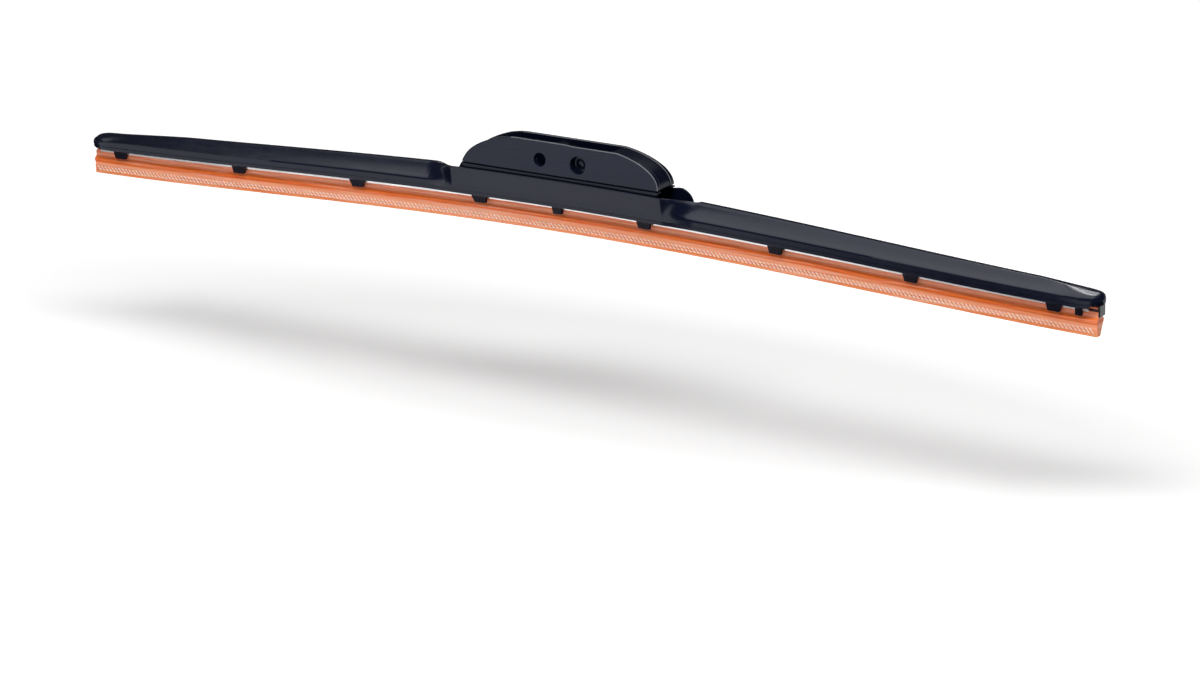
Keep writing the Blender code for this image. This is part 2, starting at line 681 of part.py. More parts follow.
def hub_outline():
    """C-shaped hub that snaps onto the pivot pin, with its neck to the slot floor."""
    bore = PIN_RADIUS + RUNNING_GAP
    neck_top = FLOOR_FOOT + FLOOR_ROOT
    neck_angle = math.degrees(math.acos(HUB_NECK / 2.0 / HUB_RADIUS))
    mouth_outer = math.degrees(math.asin(SNAP_MOUTH / 2.0 / HUB_RADIUS))
    mouth_inner = math.degrees(math.asin(SNAP_MOUTH / 2.0 / bore))
    outer_left = arc(HUB_RADIUS, 180.0 - neck_angle, 270.0 - mouth_outer, ROUND_STEPS // 2)
    inner = arc(bore, 270.0 - mouth_inner, mouth_inner - 90.0, ROUND_STEPS)
    outer_right = arc(HUB_RADIUS, mouth_outer - 90.0, neck_angle, ROUND_STEPS // 2)
    return [(-HUB_NECK / 2.0, neck_top)] + outer_left + inner + outer_right + [(HUB_NECK / 2.0, neck_top)]


def make_adapter():
    adapter = add_object("adapter", make_wall("adapter", -1.0), BLACK_PLASTIC)
    join(adapter, make_wall("wall_trailing", 1.0))
    for name, side in (("apron_leading", -1.0), ("apron_trailing", 1.0)):
        low, high = sorted((side * APRON_INNER, side * APRON_OUTER))
        join(adapter, plate(name, apron_outline(), low, high, "Y"))
    floor_half = APRON_INNER + FLOOR_ROOT
    floor_top = FLOOR_FOOT + FLOOR_THICKNESS
    join(adapter, block("slot_floor", (-FLOOR_HALF_LENGTH, -floor_half, FLOOR_FOOT),
                        (FLOOR_HALF_LENGTH, floor_half, floor_top)))
    pin_x = SIDE_PIN_SPACING / 2.0
    root = WALL_INNER + FLOOR_ROOT
    join(adapter, cross_bar("pin_boss", BOSS_RADIUS, -root, root, pin_x, SIDE_PIN_HEIGHT))
    half = BOSS_PEDESTAL / 2.0
    join(adapter, block("boss_pedestal", (pin_x - half, -root, floor_top - FLOOR_ROOT),
                        (pin_x + half, root, SIDE_PIN_HEIGHT)))
    stop_x = ADAPTER_HALF - SHOULDER_RIGHT + FIT_GAP + STOP_BAR_LENGTH
    stop_top = cap_curve(LOCK_CAP_RECESS + LOCK_CAP_THICKNESS + FIT_GAP)[0][1] - FIT_GAP
    join(adapter, block("cap_stop", (stop_x - STOP_BAR_LENGTH, -root, stop_top - STOP_BAR_HEIGHT),
                        (stop_x, root, stop_top)))
    join(adapter, plate("pivot_hub", hub_outline(), -HUB_HALF, HUB_HALF, "Y"))
    reach = WALL_OUTER + OVERRUN
    cut(adapter, cross_bar("small_pin_hole", SMALL_PIN_HOLE, -reach, reach, -pin_x, SIDE_PIN_HEIGHT))
    for name, side in (("large_hole_leading", -1.0), ("large_hole_trailing", 1.0)):
        face = side * (wall_side_at(SIDE_PIN_HEIGHT) - LARGE_HOLE_DEPTH)
        low, high = sorted((face, side * reach))
        cut(adapter, cross_bar(name, LARGE_PIN_HOLE, low, high, pin_x, SIDE_PIN_HEIGHT))
    for name, side in (("socket_leading", -1.0), ("socket_trailing", 1.0)):
        deep = side * (WALL_INNER + STUB_LENGTH)
        low, high = sorted((deep, side * (WALL_INNER - LOCK_CAP_SIDE_GAP)))
        cut(adapter, cross_bar(name, STUB_RADIUS + RUNNING_GAP, low, high, CAP_HINGE_X, CAP_HINGE_HEIGHT))
    return shade_round(adapter)


def wall_side_at(height):
    share = (height - WALL_FOOT) / (ADAPTER_TOP - WALL_FOOT)
    return mix(WALL_OUTER, WALL_OUTER_TOP, share)


def cap_curve(depth):
    """The right shoulder's line moved inwards by a depth, top to foot."""
    line = [point for point in shoulder(SHOULDER_RIGHT, RIGHT_SHOULDER_SHARES) if point[1] > LOCK_CAP_FOOT]
    moved = []
    for i, (x, z) in enumerate(line):
        before = line[max(i - 1, 0)]
        after = line[min(i + 1, len(line) - 1)]
        run = Vector((after[0] - before[0], after[1] - before[1])).normalized()
        moved.append((x + run.y * depth, z - run.x * depth))
    moved.append((ADAPTER_HALF - depth, LOCK_CAP_FOOT))
    return moved


def make_lock_cap(parent):
    outer = cap_curve(LOCK_CAP_RECESS)
    inner = cap_curve(LOCK_CAP_RECESS + LOCK_CAP_THICKNESS)
    outline = outer + list(reversed(inner))
    half = WALL_INNER - LOCK_CAP_SIDE_GAP
    mesh = plate("lock_cap", outline, -half, half, "Y")
    cap = add_object("lock_cap", mesh, BLACK_PLASTIC, parent)
    inset = half - FIT_GAP
    join(cap, cross_bar("cap_knuckle", KNUCKLE_RADIUS, -inset, inset, CAP_HINGE_X, CAP_HINGE_HEIGHT))
    reach = WALL_INNER + STUB_LENGTH - FIT_GAP
    join(cap, cross_bar("cap_stubs", STUB_RADIUS, -reach, reach, CAP_HINGE_X, CAP_HINGE_HEIGHT))
    return shade_round(cap)


def make_pin(parent):
    mesh = cross_bar("pivot_pin", PIN_RADIUS, -PIN_HALF_LENGTH, PIN_HALF_LENGTH, 0.0, PIN_HEIGHT)
    return shade_round(add_object("pivot_pin", mesh, RAIL_STEEL, parent))


def ear_outline():
    foot = WELL_FLOOR + FIT_GAP + SADDLE_THICKNESS / 2.0
    points = [(-HUB_RADIUS, foot), (HUB_RADIUS, foot)]
    steps = ROUND_STEPS // 2
    for i in range(steps + 1):
        angle = math.pi * i / steps
        points.append((HUB_RADIUS * math.cos(angle), PIN_HEIGHT + HUB_RADIUS * math.sin(angle)))
    return points


def make_saddle(parent):
    floor = WELL_FLOOR + FIT_GAP
    mesh = block("saddle_bracket", (-SADDLE_HALF_LENGTH, -SADDLE_HALF_WIDTH, floor),
                 (SADDLE_HALF_LENGTH, SADDLE_HALF_WIDTH, floor + SADDLE_THICKNESS))
    saddle = add_object("saddle_bracket", mesh, BRACKET_STEEL, parent)
    for name, side in (("ear_leading", -1.0), ("ear_trailing", 1.0)):
        low, high = sorted((side * EAR_INNER, side * SADDLE_HALF_WIDTH))
        join(saddle, plate(name, ear_outline(), low, high, "Y"))
    reach = SADDLE_HALF_WIDTH + OVERRUN
    cut(saddle, cross_bar("ear_holes", PIN_RADIUS + FIT_GAP, -reach, reach, 0.0, PIN_HEIGHT))
    for side, x in (("left", -RIVET_PLACE), ("right", RIVET_PLACE)):
        cut(saddle, cylinder_up("saddle_hole_" + side, RIVET_RADIUS + FIT_GAP, floor - OVERRUN,
                                floor + SADDLE_THICKNESS + OVERRUN, x))
    return shade_round(saddle)


def make_rivet(name, x, parent):
    """Turned rivet through the saddle and the well's floor."""
    head_foot = WELL_FLOOR + FIT_GAP + SADDLE_THICKNESS + FIT_GAP
    tail_top = HULL_CEILING - FIT_GAP + bow(x)
    profile = [(0.0, head_foot + RIVET_HEAD), (RIVET_RADIUS, head_foot + RIVET_HEAD),
               (RIVET_HEAD_RADIUS, head_foot + RIVET_HEAD / 2.0), (RIVET_HEAD_RADIUS, head_foot),
               (RIVET_RADIUS, head_foot), (RIVET_RADIUS, tail_top), (RIVET_TAIL_RADIUS, tail_top),
               (RIVET_TAIL_RADIUS, tail_top - RIVET_TAIL), (0.0, tail_top - RIVET_TAIL)]
    mesh = bpy.data.meshes.new(name)
    edges = [(i, i + 1) for i in range(len(profile) - 1)]
    mesh.from_pydata([(r, 0.0, z) for r, z in profile], edges, [])
    rivet = add_object(name, mesh, BRACKET_STEEL, parent)
    rivet.location.x = x
    screw = rivet.modifiers.new("turning", "SCREW")
    screw.axis = "Z"
    screw.angle = math.radians(360.0)
    screw.steps = 24
    screw.render_steps = 24
    screw.use_merge_vertices = True
    screw.merge_threshold = MERGE
    return rivet


clear_scene()
PARTS = make_collection("wiper_blade")
CUTTERS = make_collection("cutters")
blade = add_empty("blade_pivot", PIN_HEIGHT)
flap = add_empty("lock_cap_pivot", CAP_HINGE_HEIGHT, CAP_HINGE_X)
bpy.context.view_layer.update()
make_cover(blade)
make_rails(blade)
make_element(blade)
make_claws(blade)
make_end_cap(blade)
make_saddle(blade)
make_rivet("rivet_left", -RIVET_PLACE, blade)
make_rivet("rivet_right", RIVET_PLACE, blade)
make_pin(blade)
make_adapter()
make_lock_cap(flap)
bpy.context.view_layer.update()
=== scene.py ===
"""Scene of the windscreen wiper blade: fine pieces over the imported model,
procedural materials, a pale floor, soft studio light and the photograph's camera.

Lengths in the piece-making code are millimetres. Heights are measured up from the
cover's lower edge at mid length; the origin lies SIDE_PIN_HEIGHT above it.
"""
import math

import bmesh
import bpy
from mathutils import Matrix, Vector


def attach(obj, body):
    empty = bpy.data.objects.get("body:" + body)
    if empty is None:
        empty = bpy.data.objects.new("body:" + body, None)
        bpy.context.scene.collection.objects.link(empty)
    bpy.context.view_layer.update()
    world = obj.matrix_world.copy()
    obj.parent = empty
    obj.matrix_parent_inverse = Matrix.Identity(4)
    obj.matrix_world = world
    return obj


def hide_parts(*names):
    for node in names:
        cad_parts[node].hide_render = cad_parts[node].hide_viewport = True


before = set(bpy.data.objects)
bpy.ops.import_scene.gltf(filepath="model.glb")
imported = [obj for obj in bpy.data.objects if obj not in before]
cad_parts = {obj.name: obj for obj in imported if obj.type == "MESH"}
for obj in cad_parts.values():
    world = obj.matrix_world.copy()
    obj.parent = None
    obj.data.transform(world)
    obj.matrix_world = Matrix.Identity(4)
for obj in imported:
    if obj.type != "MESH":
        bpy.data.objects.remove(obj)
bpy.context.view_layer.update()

MM = 0.001
MERGE = 0.002               # nearer points of a plate are merged
FLAT_ANGLE = 0.5            # and faces at a smaller angle, in degrees
SIDE_PIN_HEIGHT = 17.5

# Bow of the blade
BOW_DROP = 6.76
BOW_REACH = 241.4

# Cover: the wings
TIPS = {"left": 224.6, "right": 226.9}
TIP_WALL = 1.5
TIP_GAP = 0.012             # the skin stops this far from the tip
COVER_WALL = 1.2
SKIRT_HALF = 5.7
SKIRT_HEIGHT = 3.4
SKIRT_SHARE = 0.62          # most of a section's height that the skirt takes
SKIRT_LEAN = 0.9
LIP_HEIGHT = 1.3            # recessed band along the lower edge
LIP_STEP = 0.26
LIP_LEAN = 0.3
LIP_POINTS = 3
EDGE_ROUND = 0.15
RIDGE_HEIGHT = 9.15
RIDGE_TIP_HEIGHT = 6.25
RIDGE_SIDE = 1.6            # the ridge lies behind the middle plane
RIDGE_FLAT_HALF = 0.85
CROWN_LENGTHS = {"left": 16.0, "right": 25.0}  # the ridge widens to a crown at the tips
CROWN_FLAT_HALF = 2.3
CROWN_SIDE = 0.9
CROWN_CAMBER = 0.35
DROOPS = {"left": 1.9, "right": 1.7}
DROOP_LENGTHS = {"left": 46.0, "right": 26.6}
DROOP_POWER = 1.3
NOSES = {"left": 4.6, "right": 3.4}
NOSE_POWER = 2.9
TIP_ROUND_LENGTH = 8.0
TIP_ROUND_POWER = 2.2
TIP_LIFTS = {"left": 0.55, "right": 1.35}
EDGE_DROP = 0.12
WING_ROOT = 51.6

# Cover: the hull and its well
HULL_CENTRE = -1.4
HULL_STRAIGHT = 47.0
HULL_SWEEP = 59.8           # the near rim has run into the ridge here
SWEEP_POWER = 1.35
FAR_RIM_ENDS = {"left": 46.4, "right": 48.3}
FAR_RIM_FEET = {"left": 51.2, "right": 54.5}
FAR_HUMPS = {"left": 0.0, "right": 0.75}
FAR_HUMP_PLACE = 47.6
FAR_HUMP_REACH = 5.0
FAR_SLIDE = 0.72
HULL_BASE_HALF = 6.3
RIM_HALF = 7.25
RIM_HEIGHT = 10.6
RIM_ROUND = 0.3
RIM_STEPS = 3
WELL_FLOOR = 3.3
WELL_STRAIGHT = 45.6
WELL_REACH = 55.6
HULL_CEILING = 2.1          # of the hollow below the well
CEILING_START = 53.0
CEILING_RISE = 9.0
TIP_FOOT_SHARE = 0.55       # of the half width, where the underside of a solid tip starts

# Cover: stations along its length
HULL_STATIONS = 30
SWEEP_LEAD = 0.8
SWEEP_STATIONS = 35
SWEEP_STEP = 0.4
WING_STATIONS = 64
TIP_STATIONS = 18
HOLLOW_END_STEP = 0.01
HOLLOW_END_CLEAR = 0.05

# Shapes of the flanks: shares of the way from the skirt to the ridge
LEADING_FLANK = ((0.0, 0.0), (0.08, 0.09), (0.30, 0.25), (0.56, 0.49), (0.80, 0.77), (0.94, 0.95), (1.0, 1.0))
TRAILING_FLANK = ((0.0, 0.0), (0.10, 0.04), (0.42, 0.24), (0.74, 0.56), (0.93, 0.84), (1.0, 1.0))
FLANK_POINTS = 12
CROWN_FLANK = ((0.0, 0.0), (0.06, 0.30), (0.17, 0.56), (0.36, 0.78), (0.62, 0.92), (0.85, 0.985), (1.0, 1.0))
WELL_LINE = ((6.45, 10.6), (6.31, 10.55), (6.25, 10.4), (6.25, 6.0), (5.52, 3.66), (5.36, 3.40), (5.05, 3.3))

# Silicone element
ELEMENT_ENDS = {"left": 223.6, "right": 225.2}
ELEMENT_STATIONS = 150
HEAD_TOP = 0.3
EDGE_DEPTH = 10.85
SCRUB_FACE = 2.35
KNURL_PITCH = 1.73
KNURL_ROWS = 2
KNURL_ROW_STEP = 1.02
KNURL_TOP = -7.68
KNURL_INSET = 1.2           # from the element's ends
KNURL_SHIFT = 0.3
NUB_SLANT = 0.40
NUB_HALF = 0.36
NUB_FOOT_RISE = 0.42        # half height where a nub grows from the flap
NUB_TOP_RISE = 0.32
NUB_TOP_HALF_SHARE = 0.55
NUB_TOP_SLANT_SHARE = 0.85
NUB_PROUD = 0.26
NUB_SUNK = 0.05

# Silicone colours by height: share of the way from the wiping edge to the head. Partly the silicone's own
# tones and partly painted light and shade: painted light coming through the thin pale flap, a painted pinkish
# sheen on the neck, and painted shade together with the thick silicone's deeper colour in the red-brown bands
# under the cover.
SILICONE_TONES_AND_PAINTED_LIGHT = (
    (0.0, (0.84, 0.24, 0.050)), (0.06, (0.86, 0.27, 0.085)), (0.10, (0.88, 0.30, 0.140)),
    (0.26, (0.88, 0.31, 0.150)), (0.30, (0.90, 0.35, 0.190)), (0.385, (0.90, 0.32, 0.150)),
    (0.415, (0.87, 0.22, 0.050)), (0.445, (0.80, 0.140, 0.008)), (0.55, (0.84, 0.160, 0.008)),
    (0.605, (0.88, 0.26, 0.095)), (0.69, (0.92, 0.35, 0.200)), (0.77, (0.86, 0.23, 0.095)),
    (0.85, (0.88, 0.34, 0.220)), (0.92, (0.78, 0.17, 0.070)))

# Clips
CLIP_HALF = SKIRT_HALF - COVER_WALL - 0.2
CLIP_INNER = 3.4
CLIP_CROWN = 1.9
CLIP_CROWN_FOOT = 0.5
CLIP_WAIST = -0.7           # the clip narrows below here
CLIP_TAPER = 1.4
CLIP_DEPTH = 3.4
HOOK_TOP = -1.7
HOOK_TIP = 2.5
CLIP_EDGE = 0.28
CLAW_PLACES = (36.8, 93.7, 150.6, 209.0)
CLAW_SHIFT = -0.5
CLAW_LENGTHS = (7.1, 4.8)   # along the blade, at the crown and at the foot
CENTRE_CLAW_PLACE = -2.2
CENTRE_CLAW_LENGTHS = (5.0, 3.6)
REFILL_LOCK_INSET = 8.6
REFILL_LOCK_HALF = 4.0
REFILL_LOCK_LENGTHS = (2.7, 2.7)
CLIP_RIB_SHIFTS = (-1.5, 0.0, 1.5)
CLIP_RIB_HALVES = (0.22, 0.12)
CLIP_RIB_RISE = (-3.2, -1.9)
CLIP_RIB_PROUD = 0.02

# End cap and its tongues: limits along X, Y and height
END_CAP_X = (225.4, 226.1)
END_CAP_HALF = 2.25
END_CAP_RISE = (-3.5, 0.9)
END_CAP_BOW_AT = 225.8
TONGUE_X = (222.4, 225.6)
TONGUE_Y = (0.9, 1.9)
TONGUE_RISE = (-1.5, -0.7)

# Adapter
ADAPTER_HALF = 44.2
ADAPTER_TOP = 24.65
WALL_FOOT = 11.0
STRIP_LOW = 11.25
GROOVE_LOW = 11.75
GROOVE_HIGH = 12.2
WALL_OUTER = 6.1
WALL_OUTER_TOP = 4.8
WALL_INNER = 3.6
SHOULDER_LEFT = 24.2
SHOULDER_RIGHT = 21.7
LEFT_SHOULDER = ((0.0, 1.0), (0.13, 0.98), (0.31, 0.92), (0.48, 0.82), (0.59, 0.74), (0.70, 0.645),
                 (0.80, 0.53), (0.87, 0.42), (0.92, 0.31), (0.97, 0.155), (1.0, 0.0))
RIGHT_SHOULDER = ((0.0, 1.0), (0.09, 0.99), (0.26, 0.94), (0.42, 0.87), (0.55, 0.80), (0.67, 0.715),
                  (0.80, 0.595), (0.87, 0.505), (0.93, 0.395), (0.97, 0.275), (0.99, 0.14), (1.0, 0.0))
SHOULDER_POINTS = 44
WALL_DIP = 0.3              # the near wall is lower to the right of mid length
WALL_EDGE = 0.3
PAINTED_HIGHLIGHT_START = -21.0    # the painted highlight along the wall's edge starts here
PAINTED_HIGHLIGHT_GAPS = (4.0, 0.5)  # and keeps this far from the holes' middles and the groove
SHOULDER_CLEAR = 0.7        # no point of the shoulder lies nearer to the groove
PIN_X = 8.5
SMALL_HOLE = 2.5            # radii of the side-pin holes
LARGE_HOLE = 3.3
APRON_Y = (4.7, 5.7)
APRON_BENDS = ((16.0, 9.0), (30.0, 9.6))
APRON_END = 10.2
APRON_TOP = 11.4
FOOT_INSET = 0.6
WEB_OUTER = 4.5
WEB_RISE = (11.0, 12.8)
WALL_RIB_PLACES = (-19.0, -30.0)
WALL_RIB_HALF = 0.5
WALL_RIB_Y = (3.3, 3.8)
WALL_RIB_RISE = (12.0, 19.5)
SLOT_HALF = 4.0
SLOT_FLOOR_HALF = 20.0
SLOT_FLOOR_RISE = (10.6, 12.2)
BOSS_PROFILE = ((0.0, -2.38), (1.2, -2.38), (1.35, -2.5), (1.5, -2.38), (3.0, -2.38), (3.27, -2.6),
                (3.27, -3.8), (4.6, -3.8), (4.6, 3.8), (3.27, 3.8), (3.27, 2.6), (3.0, 2.38), (0.0, 2.38))
PEDESTAL_HALVES = (3.0, 3.9)
PEDESTAL_RISE = (11.7, 13.6)
CAP_STOP_X = (22.7, 24.7)
CAP_STOP_TALL = 1.8
CAP_STOP_GAP = 0.2
HUB_HEIGHT = 7.6
HUB_RADIUS = 2.7
HUB_BORE = 1.9
HUB_MOUTH = 1.5             # half the slit by which the hub snaps over the pin
HUB_NECK = 2.1
HUB_TOP = 11.1
HUB_HALF = 2.95

# Lock cap
CAP_OUTER = 0.35            # depths below the shoulder's line
CAP_INNER = 1.65
CAP_FOOT = 12.3
CAP_FOOT_CLEAR = 0.1
CAP_POINTS = 60
CAP_CHAMFER = (0.6, 0.55)
CAP_CHAMFER_CLEAR = 0.8
CAP_HALF = 3.3
HINGE_X = 41.0
HINGE_HEIGHT = 14.4
HINGE_DRUM = (1.9, 3.1, 0.2)  # radius, half length and chamfer
HINGE_STUB = (1.0, 4.2, 0.15)

# Camera: millimetres and pixels of the photograph
CAMERA_AZIMUTH = math.radians(33.099)
CAMERA_ELEVATION = math.radians(17.976)
CAMERA_ROLL = math.radians(-1.398)
CAMERA_DISTANCE = 1969.8
FOCAL_PIXELS = 5230.9
PICTURE = (1200.0, 692.0)
ORIGIN_PIXEL = (567.608, 203.743)  # where mid length, the middle plane and height 0 meet
SENSOR = 36.0

# Floor and flags: metres
FLOOR_DEPTH = 0.106         # below the origin
FLOOR_HALF = 12.0
FLOOR_PAINTED_SHADOW_PLACE = 0.06      # middle line of the painted shadow, a zone of lower glow where the shadow falls
FLOOR_PAINTED_SHADOW_SQUEEZE = 0.3     # the zone is long along X
FLOOR_PAINTED_SHADOW_REACH = 0.06
FLOOR_WHITE_REACH = 0.13
FLOOR_GLOW = 0.15
FLOOR_FAR_GLOW = 0.50
FLOOR_DISTANCES = (0.3, 2.0)  # between these the distant glow comes in
FLOOR_DISTANT_GLOW = 0.5
FLAG_GAP = 0.003

# Brightness of the room: 0 is the level and all below it, 1 is straight up
ROOM = ((0.0, 0.90), (0.02, 0.90), (0.04, 0.05), (0.5, 0.05), (1.0, 0.07))

# Lamps: name, place, aim, size, power, use and, where it is narrow, spread in degrees
LAMPS = (
    ("overhead", (-0.28, -0.09, 1.2), (-0.28, -0.09, 0.0), (1.56, 1.38), 13.0, "gloss"),
    ("fill", (-0.2, 0.0, 1.3), (-0.2, 0.0, 0.0), (1.2,), 1.2, "light"),
    ("front_fill", (0.1, -1.4, 0.3), (0.0, 0.0, 0.0), (0.9,), 2.2, "light"),
    ("key", (0.52, -0.80, 1.62), (0.0, 0.0, -0.02), (1.6, 0.6), 36.0, "light"),
    ("edge_light", (0.56, -0.86, 1.55), (0.0, 0.0, 0.0), (0.6,), 1.6, "gloss"),
    ("front_card", (-0.75, -0.85, 0.15), (0.0, 0.0, 0.0), (0.7, 0.5), 1.3, "both"),
    ("tip_light", (0.067, 0.29, 0.291), (0.214, 0.0, -0.02), (0.20, 0.07), 0.036, "gloss", 50.0))


def mix(a, b, share):
    return a + (b - a) * share


def smooth(share):
    """Eased step from 0 to 1."""
    share = min(max(share, 0.0), 1.0)
    return share * share * (3.0 - 2.0 * share)


def rounding(share, power):
    """Falls from 1 to 0 along a rounded quarter."""
    share = min(max(share, 0.0), 1.0)
    return (1.0 - share ** power) ** (1.0 / power)


def bow(x):
    """How far the bowed line lies above its height at mid length."""
    share = x / BOW_REACH
    return -BOW_DROP * share ** 2 * (2.0 - share ** 2)


def place(x, y, height):
    """Point in the part's frame, in metres."""
    return Vector((x, y, height - SIDE_PIN_HEIGHT)) * MM


def spline(points, count):
    """Points along a smooth line through the given ones, evenly spread along it."""
    nodes = [Vector((*p, 0.0)) for p in points]
    nodes = [nodes[0] * 2.0 - nodes[1]] + nodes + [nodes[-1] * 2.0 - nodes[-2]]
    fine = []
    pieces = 24
    for a, b, c, d in zip(nodes, nodes[1:], nodes[2:], nodes[3:]):
        for i in range(pieces):
            t = i / pieces
            fine.append(0.5 * (2.0 * b + (c - a) * t + (2.0 * a - 5.0 * b + 4.0 * c - d) * t ** 2
                               + (3.0 * b - a - 3.0 * c + d) * t ** 3))
    fine.append(nodes[-2])
    lengths = [0.0]
    for a, b in zip(fine, fine[1:]):
        lengths.append(lengths[-1] + (b - a).length)
    made = []
    k = 0
    for i in range(count):
        goal = lengths[-1] * i / (count - 1)
        while k < len(fine) - 2 and lengths[k + 1] < goal:
            k += 1
        run = max(lengths[k + 1] - lengths[k], 1e-9)
        point = fine[k].lerp(fine[k + 1], min(max((goal - lengths[k]) / run, 0.0), 1.0))
        made.append((point.x, point.y))
    return made


def mirrored(points):
    return [(-a, b) for a, b in points]


def span(side, inner, outer):
    """Limits along Y of something between two depths on one side."""
    return sorted((side * inner, side * outer))


def circle(x, height, radius, steps=48):
    return [(x + radius * math.cos(2.0 * math.pi * i / steps),
             height - radius * math.sin(2.0 * math.pi * i / steps)) for i in range(steps)]


def arc(centre, radius, start, end, steps):
    """Points (x, height) along an arc between two angles in degrees."""
    angles = [math.radians(mix(start, end, i / steps)) for i in range(steps + 1)]
    return [(centre[0] + radius * math.cos(angle), centre[1] + radius * math.sin(angle)) for angle in angles]


# ---------------- meshes

def new_object(name, bm):
    mesh = bpy.data.meshes.new(name)
    bm.to_mesh(mesh)
    bm.free()
    obj = bpy.data.objects.new(name, mesh)
    bpy.context.scene.collection.objects.link(obj)
    return obj


def new_piece(name, bm, materials, nodes, body="blade", sharp=30.0, flat_faces=False):
    """Smooth-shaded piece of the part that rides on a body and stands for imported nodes."""
    bmesh.ops.recalc_face_normals(bm, faces=bm.faces)
    obj = new_object(name, bm)
    obj.data.shade_smooth()
    obj.data.set_sharp_from_angle(angle=math.radians(sharp))
    for material in materials:
        obj.data.materials.append(material)
    if flat_faces:
        weigh = obj.modifiers.new("flat_faces", "WEIGHTED_NORMAL")
        weigh.keep_sharp = True
        weigh.weight = 80
    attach(obj, body)
    if nodes:
        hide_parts(*nodes)


def bridge(bm, first, second):
    """Faces between two closed rings of vertices with the same number of points."""
    for i in range(len(first)):
        j = (i + 1) % len(first)
        bm.faces.new((first[i], first[j], second[j], second[i]))


def skin(bm, rings):
    """Closed skin over rings with the same number of points."""
    made = [[bm.verts.new(point) for point in ring] for ring in rings]
    for ring, following in zip(made, made[1:]):
        bridge(bm, ring, following)
    bm.faces.new(made[0])
    bm.faces.new(list(reversed(made[-1])))


def lathe(bm, profile, centre, steps=40):
    """Closed turned form around an axis along Y; profile is (radius, y) from axis to axis."""
    x, height = centre
    first = bm.verts.new(place(x, profile[0][1], height))
    last = bm.verts.new(place(x, profile[-1][1], height))
    rings = []
    for radius, y in profile[1:-1]:
        rings.append([bm.verts.new(place(x + radius * math.cos(2.0 * math.pi * i / steps), y,
                                         height + radius * math.sin(2.0 * math.pi * i / steps)))
                      for i in range(steps)])
    for i in range(steps):
        j = (i + 1) % steps
        bm.faces.new((first, rings[0][i], rings[0][j]))
        bm.faces.new((last, rings[-1][j], rings[-1][i]))
        for ring, following in zip(rings, rings[1:]):
            bm.faces.new((ring[i], ring[j], following[j], following[i]))


def drum(radius, half, edge):
    """Profile of a plain drum with chamfered ends."""
    end = [(0.0, half), (radius - edge, half), (radius - edge * 0.3, half - edge * 0.3),
           (radius, half - edge)]
    return [(r, -y) for r, y in end] + end[::-1]


def soften(obj, edge, segments, angle=40.0):
    """Bevel on an object's sharp edges."""
    modifier = obj.modifiers.new("soft_edges", "BEVEL")
    modifier.width = edge * MM
    modifier.segments = segments
    modifier.limit_method = "ANGLE"
    modifier.angle_limit = math.radians(angle)
    return modifier


def final_mesh(holder):
    """Mesh of an object with its modifiers applied; the object goes."""
    bpy.context.view_layer.update()
    graph = bpy.context.evaluated_depsgraph_get()
    made = bpy.data.meshes.new_from_object(holder.evaluated_get(graph))
    bpy.data.objects.remove(holder, do_unlink=True)
    return made


def baked(bm, name, edge, segments=3, angle=40.0, materials=()):
    """Mesh with its sharp edges bevelled; of two materials the bevels take the second.

    Such a mesh has a rounded outline, and a clamp on the bevel would shrink it to
    suit the outline's shortest edge, so it has none.
    """
    bmesh.ops.recalc_face_normals(bm, faces=bm.faces)
    holder = new_object(name, bm)
    modifier = soften(holder, edge, segments, angle)
    if materials:
        for material in materials:
            holder.data.materials.append(material)
        modifier.material = 1
        modifier.use_clamp_overlap = False
    return final_mesh(holder)


def add_mesh(bm, mesh):
    bm.from_mesh(mesh)
    bpy.data.meshes.remove(mesh)


def plate(name, outlines, low, high):
    """Flat (x, height) outlines, the later ones holes, extruded along Y."""
    curve = bpy.data.curves.new(name, "CURVE")
    curve.dimensions = "2D"
    curve.fill_mode = "BOTH"
    curve.extrude = (high - low) / 2.0 * MM
    for outline in outlines:
        line = curve.splines.new("POLY")
        line.points.add(len(outline) - 1)
        for point, (x, height) in zip(line.points, outline):
            point.co = (x * MM, (height - SIDE_PIN_HEIGHT) * MM, 0.0, 1.0)
        line.use_cyclic_u = True
    holder = bpy.data.objects.new(name, curve)
    bpy.context.scene.collection.objects.link(holder)
    middle = (low + high) / 2.0 * MM
    turn = Matrix(((1, 0, 0, 0), (0, 0, -1, middle), (0, 1, 0, 0), (0, 0, 0, 1)))
    bm = bmesh.new()
    add_mesh(bm, final_mesh(holder))
    bmesh.ops.remove_doubles(bm, verts=bm.verts, dist=MERGE * MM)
    bmesh.ops.transform(bm, matrix=turn, verts=bm.verts)
    bmesh.ops.dissolve_limit(bm, angle_limit=math.radians(FLAT_ANGLE), verts=bm.verts, edges=bm.edges)
    return bm


def add_plate(bm, name, outline, limits, edge, segments=2, angle=40.0):
    add_mesh(bm, baked(plate(name, [outline], *limits), name, edge, segments, angle))


def add_brick(bm, name, x, y, height, edge):
    """Box with softened edges; x, y and height are (low, high)."""
    a, b = (place(*corner) for corner in zip(x, y, height))
    box = bmesh.new()
    bmesh.ops.create_cube(box, size=1.0)
    bmesh.ops.scale(box, vec=b - a, verts=box.verts)
    bmesh.ops.translate(box, vec=(a + b) / 2.0, verts=box.verts)
    add_mesh(bm, baked(box, name, edge, 2))


# ---------------- materials

def fill_ramp(node, stops):
    elements = node.color_ramp.elements
    while len(elements) < len(stops):
        elements.new(0.5)
    for element, (position, colour) in zip(elements, stops):
        element.position = position
        element.color = (*colour, 1.0)


